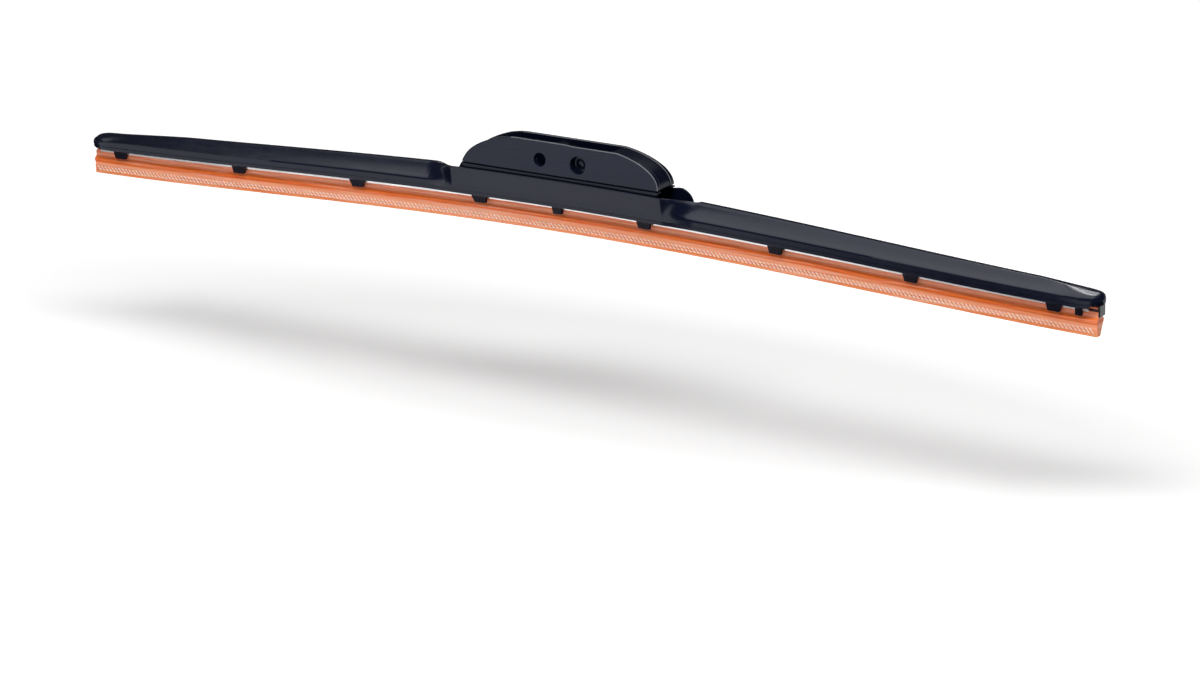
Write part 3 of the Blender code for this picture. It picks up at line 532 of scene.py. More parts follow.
class Nodes:
    """Short way to build a material's node tree."""

    def __init__(self, name, **values):
        self.material = bpy.data.materials.new(name)
        self.material.use_nodes = True
        self.tree = self.material.node_tree
        self.shader = self.tree.nodes["Principled BSDF"]
        for key, value in values.items():
            self.shader.inputs[key.replace("_", " ")].default_value = value
        self.coordinates = self.add("ShaderNodeTexCoord").outputs["Object"]

    def add(self, kind, inputs=(), **settings):
        node = self.tree.nodes.new(kind)
        for key, value in settings.items():
            setattr(node, key, value)
        for key, value in dict(inputs).items():
            if isinstance(value, bpy.types.NodeSocket):
                self.tree.links.new(value, node.inputs[key])
            else:
                node.inputs[key].default_value = value
        return node

    def link(self, output, name):
        self.tree.links.new(output, self.shader.inputs[name])

    def scaled(self, x, y, z):
        return self.add("ShaderNodeMapping", {"Vector": self.coordinates,
                                              "Scale": (x, y, z)}).outputs["Vector"]

    def noise(self, scale, detail=3.0, roughness=0.55, vector=None):
        return self.add("ShaderNodeTexNoise", {"Vector": vector or self.coordinates, "Scale": scale,
                                               "Detail": detail, "Roughness": roughness}).outputs["Fac"]

    def fit(self, value, low, high, to_low, to_high):
        return self.add("ShaderNodeMapRange", {"Value": value, "From Min": low, "From Max": high,
                                               "To Min": to_low, "To Max": to_high}).outputs["Result"]

    def math(self, operation, a, b=0.0):
        return self.add("ShaderNodeMath", {0: a, 1: b}, operation=operation).outputs[0]

    def ramp(self, value, stops):
        node = self.add("ShaderNodeValToRGB", {"Fac": value})
        node.color_ramp.interpolation = "EASE"
        fill_ramp(node, stops)
        return node.outputs["Color"]

    def blend(self, share, a, b):
        node = self.add("ShaderNodeMix", data_type="RGBA")
        for index, value in ((0, share), (6, a), (7, b)):
            if isinstance(value, bpy.types.NodeSocket):
                self.tree.links.new(value, node.inputs[index])
            else:
                node.inputs[index].default_value = value if index == 0 else (*value, 1.0)
        return node.outputs[2]

    def bump(self, height, strength, distance, onto=None):
        inputs = {"Height": height, "Strength": strength, "Distance": distance * MM}
        if onto is not None:
            inputs["Normal"] = onto
        return self.add("ShaderNodeBump", inputs).outputs["Normal"]


def black_plastic(name, dark, light, rough, specular, grain, sheen=(1.0, 1.0, 1.0)):
    """Moulded black plastic: fine grain, faint flow marks and hairline scratches."""
    made = Nodes(name, Specular_IOR_Level=specular, IOR=1.49, Specular_Tint=(*sheen, 1.0))
    flow = made.noise(60.0, 4.0, 0.6, made.scaled(0.25, 1.0, 1.0))
    fine = made.noise(5200.0, 2.0, 0.5)
    hair = made.noise(1900.0, 2.0, 0.5, made.scaled(0.02, 1.0, 1.0))
    base = made.blend(made.fit(flow, 0.35, 0.65, 0.0, 1.0), dark, light)
    scuffed = tuple(2.2 * value for value in light)
    made.link(made.blend(made.fit(hair, 0.66, 0.74, 0.0, 0.35), base, scuffed), "Base Color")
    patch = made.noise(240.0, 3.0, 0.6)
    rough_value = made.math("ADD", made.fit(patch, 0.3, 0.7, rough - 0.03, rough + 0.03),
                            made.fit(hair, 0.3, 0.7, -0.03, 0.04))
    made.link(rough_value, "Roughness")
    low = made.bump(flow, 0.05, 0.05)
    made.link(made.bump(fine, 0.15, grain, low), "Normal")
    return made.material


def bow_height(made):
    """Height above the bowed line, from a piece's own coordinates, in metres."""
    parts = made.add("ShaderNodeSeparateXYZ", {"Vector": made.coordinates}).outputs
    share = made.math("DIVIDE", parts["X"], BOW_REACH * MM)
    square = made.math("MULTIPLY", share, share)
    rest = made.math("SUBTRACT", 2.0, square)
    drop = made.math("MULTIPLY", made.math("MULTIPLY", square, rest), BOW_DROP * MM)
    return made.math("ADD", made.math("ADD", parts["Z"], drop), SIDE_PIN_HEIGHT * MM)


def silicone(name, nubs=False):
    """Translucent orange silicone, paler on the scrubbing flap and streaked along its length; its height
    bands hold painted light and shade, and the nubs' paler colour is a painted highlight.
    """
    made = Nodes(name, Specular_IOR_Level=0.45, IOR=1.41, Subsurface_Weight=0.35,
                 Subsurface_Scale=0.0012, Coat_Weight=0.12, Coat_Roughness=0.25)
    made.shader.inputs["Subsurface Radius"].default_value = (1.0, 0.35, 0.15)
    streak = made.noise(1500.0, 4.0, 0.6, made.scaled(0.011, 1.0, 1.0))
    cloud = made.noise(55.0, 3.0, 0.5)
    if nubs:
        # The nubs' paler colour is a painted highlight where their tops catch the light.
        colour = made.blend(made.fit(cloud, 0.3, 0.7, 0.0, 1.0), (0.95, 0.64, 0.53), (0.97, 0.74, 0.65))
    else:
        level = made.fit(bow_height(made), -EDGE_DEPTH * MM, HEAD_TOP * MM, 0.0, 1.0)
        # Height bands of the silicone's own tones with painted light and shade.
        tones_and_painted_light = made.ramp(level, SILICONE_TONES_AND_PAINTED_LIGHT)
        paler = made.blend(0.6, tones_and_painted_light, (0.93, 0.52, 0.42))
        darker = made.blend(0.55, tones_and_painted_light, (0.60, 0.10, 0.020))
        light = made.math("MULTIPLY", made.fit(streak, 0.50, 0.66, 0.0, 1.0),
                          made.fit(cloud, 0.3, 0.7, 0.5, 1.0))
        shade = made.fit(streak, 0.35, 0.48, 0.9, 0.0)
        colour = made.blend(shade, made.blend(light, tones_and_painted_light, paler), darker)
    made.link(colour, "Base Color")
    made.link(made.fit(streak, 0.3, 0.7, 0.34, 0.52), "Roughness")
    grain = made.noise(3800.0, 2.0, 0.5)
    long_mark = made.bump(streak, 0.35, 0.06)
    made.link(made.bump(grain, 0.2, 0.02, long_mark), "Normal")
    return made.material


def steel(name, tone, rough):
    """Rolled steel: fine lengthwise brushing and faint stains."""
    made = Nodes(name, Metallic=1.0, Anisotropic=0.35)
    brush = made.noise(1500.0, 3.0, 0.6, made.scaled(0.02, 1.0, 1.0))
    stain = made.noise(90.0, 4.0, 0.6)
    darker = tuple(0.78 * value for value in tone)
    made.link(made.blend(made.fit(stain, 0.35, 0.7, 0.0, 1.0), tone, darker), "Base Color")
    made.link(made.math("ADD", made.fit(brush, 0.3, 0.7, rough - 0.06, rough + 0.06),
                        made.fit(stain, 0.3, 0.7, -0.03, 0.05)), "Roughness")
    made.link(made.bump(brush, 0.2, 0.01), "Normal")
    return made.material


COVER_BLACK = black_plastic("cover_black", (0.0024, 0.0036, 0.0115), (0.0038, 0.0054, 0.0160),
                            0.20, 0.38, 0.005, (0.90, 0.92, 1.0))
ADAPTER_BLACK = black_plastic("adapter_black", (0.0024, 0.0036, 0.0110), (0.0036, 0.0050, 0.0150),
                              0.22, 0.30, 0.006, (0.80, 0.86, 1.0))
# Lighter plastic for the walls' bevels: a painted highlight along the adapter's edges.
ADAPTER_PAINTED_HIGHLIGHT = black_plastic("adapter_painted_highlight", (0.085, 0.088, 0.105), (0.150, 0.152, 0.170), 0.24, 0.40, 0.006)
CLAW_BLACK = black_plastic("claw_black", (0.0036, 0.0036, 0.0100), (0.0052, 0.0052, 0.0135),
                           0.30, 0.14, 0.012)
CAP_BLACK = black_plastic("end_cap_black", (0.0060, 0.0065, 0.0110), (0.0080, 0.0088, 0.0140),
                          0.24, 0.55, 0.010)
SILICONE = silicone("silicone_orange")
# Nubs in paler silicone: a painted highlight.
NUB_SILICONE_PAINTED_HIGHLIGHT = silicone("silicone_nubs_painted_highlight", nubs=True)
RAIL_STEEL = steel("rail_steel_brushed", (0.80, 0.80, 0.79), 0.30)
BRACKET_STEEL = steel("bracket_steel_brushed", (0.50, 0.50, 0.51), 0.38)


# ---------------- cover

LEADING = spline(LEADING_FLANK, FLANK_POINTS)
TRAILING = spline(TRAILING_FLANK, FLANK_POINTS)
CROWN = spline(CROWN_FLANK, FLANK_POINTS)


def side_of(x):
    return "right" if x > 0.0 else "left"


def tip_share(x, length):
    """0 at a given length before the tip and 1 at the tip."""
    return (abs(x) - TIPS[side_of(x)] + length) / length


def plan_half(x):
    return SKIRT_HALF * rounding(tip_share(x, TIP_ROUND_LENGTH), TIP_ROUND_POWER)


def edge_lift(x):
    return TIP_LIFTS[side_of(x)] * smooth(tip_share(x, TIP_ROUND_LENGTH)) - EDGE_DROP


def ridge_height(x):
    side = side_of(x)
    along = max(abs(x) - WING_ROOT, 0.0) / (TIPS[side] - WING_ROOT)
    drooped = max(tip_share(x, DROOP_LENGTHS[side]), 0.0) ** DROOP_POWER
    height = mix(RIDGE_HEIGHT, RIDGE_TIP_HEIGHT, along) - DROOPS[side] * drooped
    foot = edge_lift(x)
    return foot + (height - foot) * rounding(tip_share(x, NOSES[side]), NOSE_POWER)


def crown_share(x):
    """How far the section has turned from a ridge into the tip's broad crown."""
    return smooth(tip_share(x, CROWN_LENGTHS[side_of(x)]))


def skirt_heights(low, high):
    """Heights of the points on the skirt above the lip."""
    return low, mix(low, high, 0.35), mix(low, high, 0.7)


def wing_sides(x):
    """Leading and trailing outlines of a wing, foot to ridge and ridge to foot."""
    half = plan_half(x)
    height = ridge_height(x)
    foot = edge_lift(x)
    tall = height - foot
    skirt = foot + min(SKIRT_HEIGHT - foot, SKIRT_SHARE * tall)
    lip = foot + min(LIP_HEIGHT - max(foot, 0.0) * 0.5, (skirt - foot) / 2.0)
    step = min(LIP_STEP, half / 4.0)
    soft = min(EDGE_ROUND, half / 6.0, tall / 10.0)
    crown = crown_share(x)
    thin = half / SKIRT_HALF
    side = mix(RIDGE_SIDE, CROWN_SIDE, crown) * thin
    flat = mix(RIDGE_FLAT_HALF, CROWN_FLAT_HALF, crown) * thin
    lean = mix(SKIRT_LEAN, 0.5 * SKIRT_LEAN, crown) * thin / SKIRT_HEIGHT
    low = [(half - step - soft, foot), (half - step, foot + soft), (half - step - lean * (lip - foot), lip)]
    low += [(half - lean * (z - foot), z) for z in skirt_heights(lip + min(step, (skirt - lip) / 3.0), skirt)]
    start = half - lean * (skirt - foot)
    leading = mirrored(low)
    for (a, b), (c, d) in zip(LEADING, CROWN):
        leading.append((mix(-start, side - flat, mix(a, c, crown)), mix(skirt, height, mix(b, d, crown))))
    trailing = []
    for (a, b), (c, d) in zip(TRAILING, reversed(CROWN)):
        trailing.append((mix(side + flat, start, mix(a, 1.0 - c, crown)),
                         mix(height, skirt, mix(b, 1.0 - d, crown))))
    return leading, trailing + low[::-1]


def hull_sides():
    """Leading and trailing outlines of the hull, point for point like a wing's."""
    half = HULL_BASE_HALF
    outline = [(half - LIP_STEP - EDGE_ROUND, -EDGE_DROP), (half - LIP_STEP, EDGE_ROUND - EDGE_DROP),
               (half - LIP_STEP - LIP_LEAN, LIP_HEIGHT)]
    outline += [(half, z) for z in skirt_heights(LIP_HEIGHT + LIP_STEP, SKIRT_HEIGHT)]
    straight = FLANK_POINTS - 1 - RIM_STEPS
    for i in range(straight + 1):
        share = i / straight
        outline.append((mix(half, RIM_HALF, share), mix(SKIRT_HEIGHT, RIM_HEIGHT - RIM_ROUND, share)))
    for i in range(1, RIM_STEPS + 1):
        turn = math.radians(90.0) * i / RIM_STEPS
        outline.append((RIM_HALF - RIM_ROUND + RIM_ROUND * math.cos(turn),
                        RIM_HEIGHT - RIM_ROUND + RIM_ROUND * math.sin(turn)))
    return mirrored(outline), outline[::-1]


HULL_LEADING, HULL_TRAILING = hull_sides()


def blend_lines(first, second, share):
    return [(mix(a[0], b[0], share), mix(a[1], b[1], share)) for a, b in zip(first, second)]


def outer_lines(x):
    """Leading and trailing outlines where the hull runs into a wing.

    The near rim sweeps to the ridge; the far rim drops bluntly to the far flank.
    """
    side = side_of(x)
    reach = abs(x - HULL_CENTRE)
    wing_leading, wing_trailing = wing_sides(x)
    sweep = min(max((HULL_SWEEP - reach) / (HULL_SWEEP - HULL_STRAIGHT), 0.0), 1.0) ** SWEEP_POWER
    leading = blend_lines(wing_leading, HULL_LEADING, sweep)
    if reach >= HULL_SWEEP:
        return leading, wing_trailing
    rim_end, rim_foot = FAR_RIM_ENDS[side], FAR_RIM_FEET[side]
    slide = FAR_SLIDE * smooth((HULL_SWEEP - reach) / (HULL_SWEEP - rim_foot))
    widen = smooth((HULL_SWEEP - reach) / (HULL_SWEEP - rim_end))
    rise = rounding((reach - rim_end) / (rim_foot - rim_end), 2.0)
    flank, low = wing_trailing[:FLANK_POINTS], wing_trailing[FLANK_POINTS:]
    slid = []
    for i in range(FLANK_POINTS):
        spot = mix(slide, 1.0, i / (FLANK_POINTS - 1)) * (FLANK_POINTS - 1)
        k = min(int(spot), FLANK_POINTS - 2)
        slid += blend_lines(flank[k:k + 1], flank[k + 1:k + 2], spot - k)
    wide = [(y * mix(1.0, HULL_BASE_HALF / SKIRT_HALF, widen), z) for y, z in slid + low]
    hump = FAR_HUMPS[side] * smooth(1.0 - abs(reach - FAR_HUMP_PLACE) / FAR_HUMP_REACH)
    far = [(y, z + hump * (z / RIM_HEIGHT) ** 3) for y, z in HULL_TRAILING]
    return leading, blend_lines(wide, far, rise)


def cover_ring(x, hollow):
    """Closed section of the cover: outside with the well, then the hollow underneath."""
    reach = abs(x - HULL_CENTRE)
    half = plan_half(x)
    foot = edge_lift(x)
    leading, trailing = outer_lines(x)
    near, far = leading[-1], trailing[0]
    depth_share = rounding((reach - WELL_STRAIGHT) / (WELL_REACH - WELL_STRAIGHT), 2.0)
    rim_edge = RIM_HALF - RIM_ROUND
    well = []
    for y, z in mirrored(WELL_LINE) + [(0.0, WELL_FLOOR)] + list(reversed(WELL_LINE)):
        share = (y + rim_edge) / (2.0 * rim_edge)
        rest = mix(near[1], far[1], share) + CROWN_CAMBER * crown_share(x) * (1.0 - (2.0 * share - 1.0) ** 2)
        depth = (RIM_HEIGHT - z) / (RIM_HEIGHT - WELL_FLOOR)
        well.append((mix(near[0], far[0], share), rest - (rest - WELL_FLOOR) * depth * depth_share))
    wing_leading, wing_trailing = wing_sides(x)
    outline = wing_leading[LIP_POINTS:] + wing_trailing[:-LIP_POINTS]
    outline = outline[::2] + outline[-1:]
    inner = []
    if hollow:
        inner_half = max(half - COVER_WALL, 0.0)
        wing_share = smooth((abs(x) - CEILING_START) / CEILING_RISE)
        for y, z in outline:
            wing_y, wing_z = y * inner_half / half, max(z - COVER_WALL, foot + 0.1)
            hull_y, hull_z = math.copysign(min(abs(y), inner_half), y), min(wing_z, HULL_CEILING)
            inner.append((mix(hull_y, wing_y, wing_share), mix(hull_z, wing_z, wing_share)))
        first, last = inner[0][0], inner[-1][0]
    else:
        steps = len(outline) - 1
        inner = [((2.0 * i / steps - 1.0) * 0.5 * half, foot) for i in range(steps + 1)]
        first, last = -TIP_FOOT_SHARE * half, TIP_FOOT_SHARE * half
    ring = leading + well + trailing + [(last, foot)] + inner[::-1] + [(first, foot)]
    return [place(x, y, z + bow(x)) for y, z in ring]


def cover_stations(side):
    """(distance, hollow or not) of the stations from the hull to one tip."""
    tip = TIPS[side]
    shift = HULL_CENTRE if side == "right" else -HULL_CENTRE
    places = [HULL_STRAIGHT - SWEEP_LEAD + shift + i * SWEEP_STEP for i in range(SWEEP_STATIONS)]
    root, fall = places[-1], tip - TIP_ROUND_LENGTH
    places += [mix(root, fall, i / WING_STATIONS) for i in range(1, WING_STATIONS + 1)]
    turns = [math.radians(90.0) * i / TIP_STATIONS for i in range(1, TIP_STATIONS)]
    places += [mix(fall, tip, math.sin(turn)) for turn in turns] + [tip - TIP_GAP]
    end = tip - TIP_WALL
    marked = [(x, True) for x in places if x < end - HOLLOW_END_CLEAR]
    marked += [(end, True), (end + HOLLOW_END_STEP, False)]
    return marked + [(x, False) for x in places if x > end + HOLLOW_END_STEP + HOLLOW_END_CLEAR]


def make_cover():
    left = [(-x, hollow) for x, hollow in reversed(cover_stations("left"))]
    right = cover_stations("right")
    middle = [(mix(left[-1][0], right[0][0], i / HULL_STATIONS), True) for i in range(1, HULL_STATIONS)]
    bm = bmesh.new()
    skin(bm, [cover_ring(x, hollow) for x, hollow in left + middle + right])
    new_piece("cover_shell", bm, (COVER_BLACK,), ["cover"], sharp=34.0)


# ---------------- element

def element_outline():
    """Closed section of the silicone, trailing head corner first."""
    head = [(1.9, 0.3), (2.1, 0.1), (2.1, -0.35), (1.95, -0.5), (0.6, -0.5), (0.6, -1.7), (1.4, -1.7),
            (1.5, -1.8), (1.5, -2.15), (1.62, -2.25), (1.62, -2.4), (1.5, -2.5), (1.5, -2.95), (1.6, -3.05),
            (1.6, -3.2), (1.5, -3.3), (1.52, -3.65), (1.75, -4.05), (2.2, -4.42), (2.48, -4.6), (2.62, -4.78),
            (2.65, -4.95), (2.65, -5.7), (2.6, -5.87), (2.45, -5.98), (2.32, -6.08)]
    lip_far = [(2.2, -6.25), (1.95, -6.6), (1.25, -8.3), (0.6, -9.8), (0.2, -10.6), (0.1, -10.85)]
    lip_near = [(-1.0, -10.85), (-1.2, -10.7), (-1.2, -9.0), (-1.2, -7.2), (-1.3, -7.02), (-1.45, -7.02)]
    flap = [(-1.55, -7.2), (-1.55, -9.0), (-1.55, -10.75), (-1.65, -10.85), (-2.2, -10.85), (-2.35, -10.7),
            (-2.35, -10.2), (-2.35, -8.5), (-2.35, -6.6), (-2.33, -6.3)]
    return head + lip_far + lip_near + flap + mirrored(head)[::-1]


def make_element():
    outline = element_outline()
    bm = bmesh.new()
    start, end = -ELEMENT_ENDS["left"], ELEMENT_ENDS["right"]
    stations = [mix(start, end, i / ELEMENT_STATIONS) for i in range(ELEMENT_STATIONS + 1)]
    skin(bm, [[place(x, y, z + bow(x)) for y, z in outline] for x in stations])
    new_piece("silicone_strip", bm, (SILICONE,), ["wiping_element"], sharp=40.0)


def make_knurl():
    """Rows of slanted nubs on the scrubbing flap."""
    bm = bmesh.new()
    start, end = KNURL_INSET - ELEMENT_ENDS["left"], ELEMENT_ENDS["right"] - KNURL_INSET
    foot = (NUB_HALF, NUB_FOOT_RISE, NUB_SLANT, NUB_SUNK - SCRUB_FACE)
    top = (NUB_HALF * NUB_TOP_HALF_SHARE, NUB_TOP_RISE, NUB_SLANT * NUB_TOP_SLANT_SHARE,
           -SCRUB_FACE - NUB_PROUD)
    for row in range(KNURL_ROWS):
        z = KNURL_TOP - (row + 0.5) * KNURL_ROW_STEP
        for column in range(int((end - start) / KNURL_PITCH)):
            x = start + (column + 0.5 * (row % 2)) * KNURL_PITCH + KNURL_SHIFT
            rings = ([], [])
            for u, v in ((-1, 1), (1, 1), (1, -1), (-1, -1)):
                for ring, (half, rise, slant, y) in zip(rings, (foot, top)):
                    along = x + (u * half - v * slant)
                    ring.append(bm.verts.new(place(along, y, z + rise * v + bow(along))))
            bm.faces.new(rings[0])
            bm.faces.new(rings[1][::-1])
            bridge(bm, *rings)
    new_piece("scrubbing_nubs", bm, (NUB_SILICONE_PAINTED_HIGHLIGHT,), [], sharp=50.0)


# ---------------- clips

def clip_mesh(name, centre, half, lengths):
    """C-shaped clip that hooks under the rails; its foot can be shorter than its crown."""
    side = [(half, CLIP_CROWN), (half, CLIP_WAIST), (half, -CLIP_DEPTH), (HOOK_TIP, -CLIP_DEPTH),
            (HOOK_TIP, HOOK_TOP), (CLIP_INNER, HOOK_TOP), (CLIP_INNER, CLIP_CROWN_FOOT)]
    rings = ([], [])
    for y, z in side + mirrored(side)[::-1]:
        length = mix(*lengths, smooth(max(-z, 0.0) / CLIP_DEPTH * CLIP_TAPER))
        for ring, share in zip(rings, (-0.5, 0.5)):
            x = centre + share * length
            ring.append(place(x, y, z + bow(x)))
    bm = bmesh.new()
    skin(bm, rings)
    return baked(bm, name, CLIP_EDGE, 3, 30.0)


def make_clips():
    clips = []
    for side, sign in (("left", -1.0), ("right", 1.0)):
        for number, spot in enumerate(CLAW_PLACES, 1):
            clips.append((f"claw_{side}_{number}", sign * spot + CLAW_SHIFT, CLIP_HALF, CLAW_LENGTHS,
                          CLIP_RIB_SHIFTS))
    clips.append(("claw_centre", CENTRE_CLAW_PLACE, CLIP_HALF, CENTRE_CLAW_LENGTHS, ()))
    lock_place = TIPS["right"] - REFILL_LOCK_INSET
    clips.append(("refill_lock", lock_place, REFILL_LOCK_HALF, REFILL_LOCK_LENGTHS, ()))
    for name, centre, half, lengths, rib_shifts in clips:
        bm = bmesh.new()
        add_mesh(bm, clip_mesh(name, centre, half, lengths))
        for y in (-half - CLIP_RIB_PROUD, half + CLIP_RIB_PROUD):
            for x in (centre + shift for shift in rib_shifts):
                add_brick(bm, name + "_rib", (x - CLIP_RIB_HALVES[0], x + CLIP_RIB_HALVES[0]),
                          (y - CLIP_RIB_HALVES[1], y + CLIP_RIB_HALVES[1]),
                          [z + bow(x) for z in CLIP_RIB_RISE], 0.1)
        new_piece(name + "_clip", bm, (CLAW_BLACK,), [name], sharp=50.0, flat_faces=True)


# ---------------- adapter

def shoulder(length, shares, count, depth=0.0):
    """Points (x, height) down one end of the adapter, this deep below its line."""
    start = ADAPTER_HALF - length
    line = [(start + length * run, mix(WALL_FOOT, ADAPTER_TOP, rise)) for run, rise in spline(shares, count)]
    moved = []
    for i, (x, z) in enumerate(line):
        before, after = line[max(i - 1, 0)], line[min(i + 1, len(line) - 1)]
        run = Vector((after[0] - before[0], after[1] - before[1])).normalized()
        moved.append((x + run.y * depth, z - run.x * depth))
    return moved


def wall_outline(dip):
    """Upper edge of a side wall from left foot to right foot."""
    left = mirrored(shoulder(SHOULDER_LEFT, LEFT_SHOULDER, SHOULDER_POINTS))
    right = shoulder(SHOULDER_RIGHT, RIGHT_SHOULDER, SHOULDER_POINTS)
    fall = []
    if dip:
        top = ADAPTER_TOP - dip
        fall = [(2.5, ADAPTER_TOP), (4.0, ADAPTER_TOP - 0.1), (6.0, top + 0.05), (8.0, top)]
        right = [(x, min(z, top)) for x, z in right]
    return left[::-1] + fall + right


def wall_mesh(name, side):
    """Side wall above the groove; it leans inwards and has a painted highlight, a lighter material on its
    bevels, along its upper edge.
    """
    upper = [p for p in wall_outline(WALL_DIP if side < 0.0 else 0.0) if p[1] > GROOVE_HIGH + SHOULDER_CLEAR]
    outlines = [[(upper[0][0], GROOVE_HIGH)] + upper + [(upper[-1][0], GROOVE_HIGH)],
                circle(-PIN_X, SIDE_PIN_HEIGHT, SMALL_HOLE), circle(PIN_X, SIDE_PIN_HEIGHT, LARGE_HOLE)]
    bm = plate(name, outlines, *span(side, WALL_INNER, WALL_OUTER))
    lean = (WALL_OUTER - WALL_OUTER_TOP) / (ADAPTER_TOP - WALL_FOOT)
    middle = (WALL_INNER + WALL_OUTER) / 2.0 * MM
    for vertex in bm.verts:
        if abs(vertex.co.y) > middle:
            height = vertex.co.z / MM + SIDE_PIN_HEIGHT
            vertex.co.y = side * (WALL_OUTER - lean * (height - WALL_FOOT)) * MM
    made = baked(bm, name, WALL_EDGE, 3, 50.0, (ADAPTER_BLACK, ADAPTER_PAINTED_HIGHLIGHT))
    # Faces by the holes, by the groove and left of the start keep the plain black; the rest of the bevels
    # carry the painted highlight.
    hole_gap, groove_gap = PAINTED_HIGHLIGHT_GAPS
    for face in made.polygons:
        spot = face.center / MM
        by_hole = max(abs(spot.z), abs(abs(spot.x) - PIN_X)) < hole_gap
        by_groove = spot.z < GROOVE_HIGH - SIDE_PIN_HEIGHT + groove_gap
        if by_hole or by_groove or spot.x < PAINTED_HIGHLIGHT_START:
            face.material_index = 0
    return made


def apron_outline():
    """The apron below the foot strip; its lower edge is arched."""
    half = ADAPTER_HALF - FOOT_INSET
    right = [*APRON_BENDS, (half, APRON_END), (half, APRON_TOP)]
    return mirrored(right)[::-1] + right


def hub_outline():
    """Hub that snaps over the pivot pin from above, open at the bottom."""
    centre = (0.0, HUB_HEIGHT)
    neck_angle = math.degrees(math.acos(HUB_NECK / HUB_RADIUS))
    outer = math.degrees(math.asin(HUB_MOUTH / HUB_RADIUS))
    inner = math.degrees(math.asin(HUB_MOUTH / HUB_BORE))
    left = arc(centre, HUB_RADIUS, 180.0 - neck_angle, 270.0 - outer, 20)
    hole = arc(centre, HUB_BORE, 270.0 - inner, inner - 90.0, 36)
    right = arc(centre, HUB_RADIUS, outer - 90.0, neck_angle, 20)
    return [(-HUB_NECK, HUB_TOP)] + left + hole + right + [(HUB_NECK, HUB_TOP)]


def make_adapter():
    bm = bmesh.new()
    add_mesh(bm, wall_mesh("wall_near", -1.0))
    add_mesh(bm, wall_mesh("wall_far", 1.0))
    whole, inset = (-ADAPTER_HALF, ADAPTER_HALF), (FOOT_INSET - ADAPTER_HALF, ADAPTER_HALF - FOOT_INSET)
    for side in (-1.0, 1.0):
        add_plate(bm, "apron", apron_outline(), span(side, *APRON_Y), 0.2)
        add_brick(bm, "foot_strip", whole, span(side, WALL_INNER, WALL_OUTER), (STRIP_LOW, GROOVE_LOW), 0.12)
        add_brick(bm, "groove_web", inset, span(side, WALL_INNER, WEB_OUTER), WEB_RISE, 0.1)
        for x in WALL_RIB_PLACES:
            add_brick(bm, "rib", (x - WALL_RIB_HALF, x + WALL_RIB_HALF), span(side, *WALL_RIB_Y),
                      WALL_RIB_RISE, 0.15)
    slot = (-SLOT_HALF, SLOT_HALF)
    add_brick(bm, "slot_floor", (-SLOT_FLOOR_HALF, SLOT_FLOOR_HALF), slot, SLOT_FLOOR_RISE, 0.3)
    lathe(bm, BOSS_PROFILE, (PIN_X, SIDE_PIN_HEIGHT), 56)
    long_half, wide_half = PEDESTAL_HALVES
    add_brick(bm, "pedestal", (PIN_X - long_half, PIN_X + long_half), (-wide_half, wide_half),
              PEDESTAL_RISE, 0.3)
    below_cap = CAP_INNER + CAP_STOP_GAP
    stop = shoulder(SHOULDER_RIGHT, RIGHT_SHOULDER, SHOULDER_POINTS, below_cap)[0][1] - CAP_STOP_GAP
    add_brick(bm, "cap_stop", CAP_STOP_X, slot, (stop - CAP_STOP_TALL, stop), 0.25)
    add_plate(bm, "hub", hub_outline(), (-HUB_HALF, HUB_HALF), 0.2, 2, 50.0)
    new_piece("adapter_shell", bm, (ADAPTER_BLACK, ADAPTER_PAINTED_HIGHLIGHT), ["adapter"],
              "arm_adapter", 50.0, True)


def cap_line(depth):
    """The right shoulder's line at a depth, down to the lock cap's foot."""
    line = shoulder(SHOULDER_RIGHT, RIGHT_SHOULDER, CAP_POINTS, depth)
    return [p for p in line if p[1] > CAP_FOOT + CAP_FOOT_CLEAR] + [(ADAPTER_HALF - depth - 0.02, CAP_FOOT)]


def make_lock_cap():
    outer, inner = cap_line(CAP_OUTER), cap_line(CAP_INNER)
    x, height = outer[0]
    outline = [(x + CAP_CHAMFER[0], height)] + [p for p in outer if p[0] > x + CAP_CHAMFER_CLEAR]
    outline += inner[::-1] + [(x, height - CAP_CHAMFER[1])]
    bm = bmesh.new()
    add_plate(bm, "lock_cap", outline, (-CAP_HALF, CAP_HALF), 0.25, 3)
    for sizes in (HINGE_DRUM, HINGE_STUB):
        lathe(bm, drum(*sizes), (HINGE_X, HINGE_HEIGHT))
    new_piece("lock_cap_shell", bm, (ADAPTER_BLACK,), ["lock_cap"], "lock_cap", 50.0, True)


# ---------------- small parts

def make_end_cap():
    """Small plate on the right end with two tongues that reach into the element."""
    shift = bow(END_CAP_BOW_AT)
    half, (foot, top) = END_CAP_HALF, END_CAP_RISE
    corners = [(half, top), (-half, top), (-half, foot), (half, foot)]
    block = bmesh.new()
    skin(block, [[place(x, y, z + shift) for y, z in corners] for x in END_CAP_X])
    bm = bmesh.new()
    add_mesh(bm, baked(block, "end_cap", 0.3, 3, 30.0))
    for side in (-1.0, 1.0):
        add_brick(bm, "tongue", TONGUE_X, span(side, *TONGUE_Y), [z + shift for z in TONGUE_RISE], 0.15)
    new_piece("end_cap_plate", bm, (CAP_BLACK,), ["end_cap"], sharp=50.0, flat_faces=True)


def dress_node(name, material, edge):
    """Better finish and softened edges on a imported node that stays."""
    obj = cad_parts[name]
    for slot in obj.material_slots:
        slot.link = "OBJECT"
        slot.material = material
    if edge:
        soften(obj, edge, 2)


# ---------------- studio

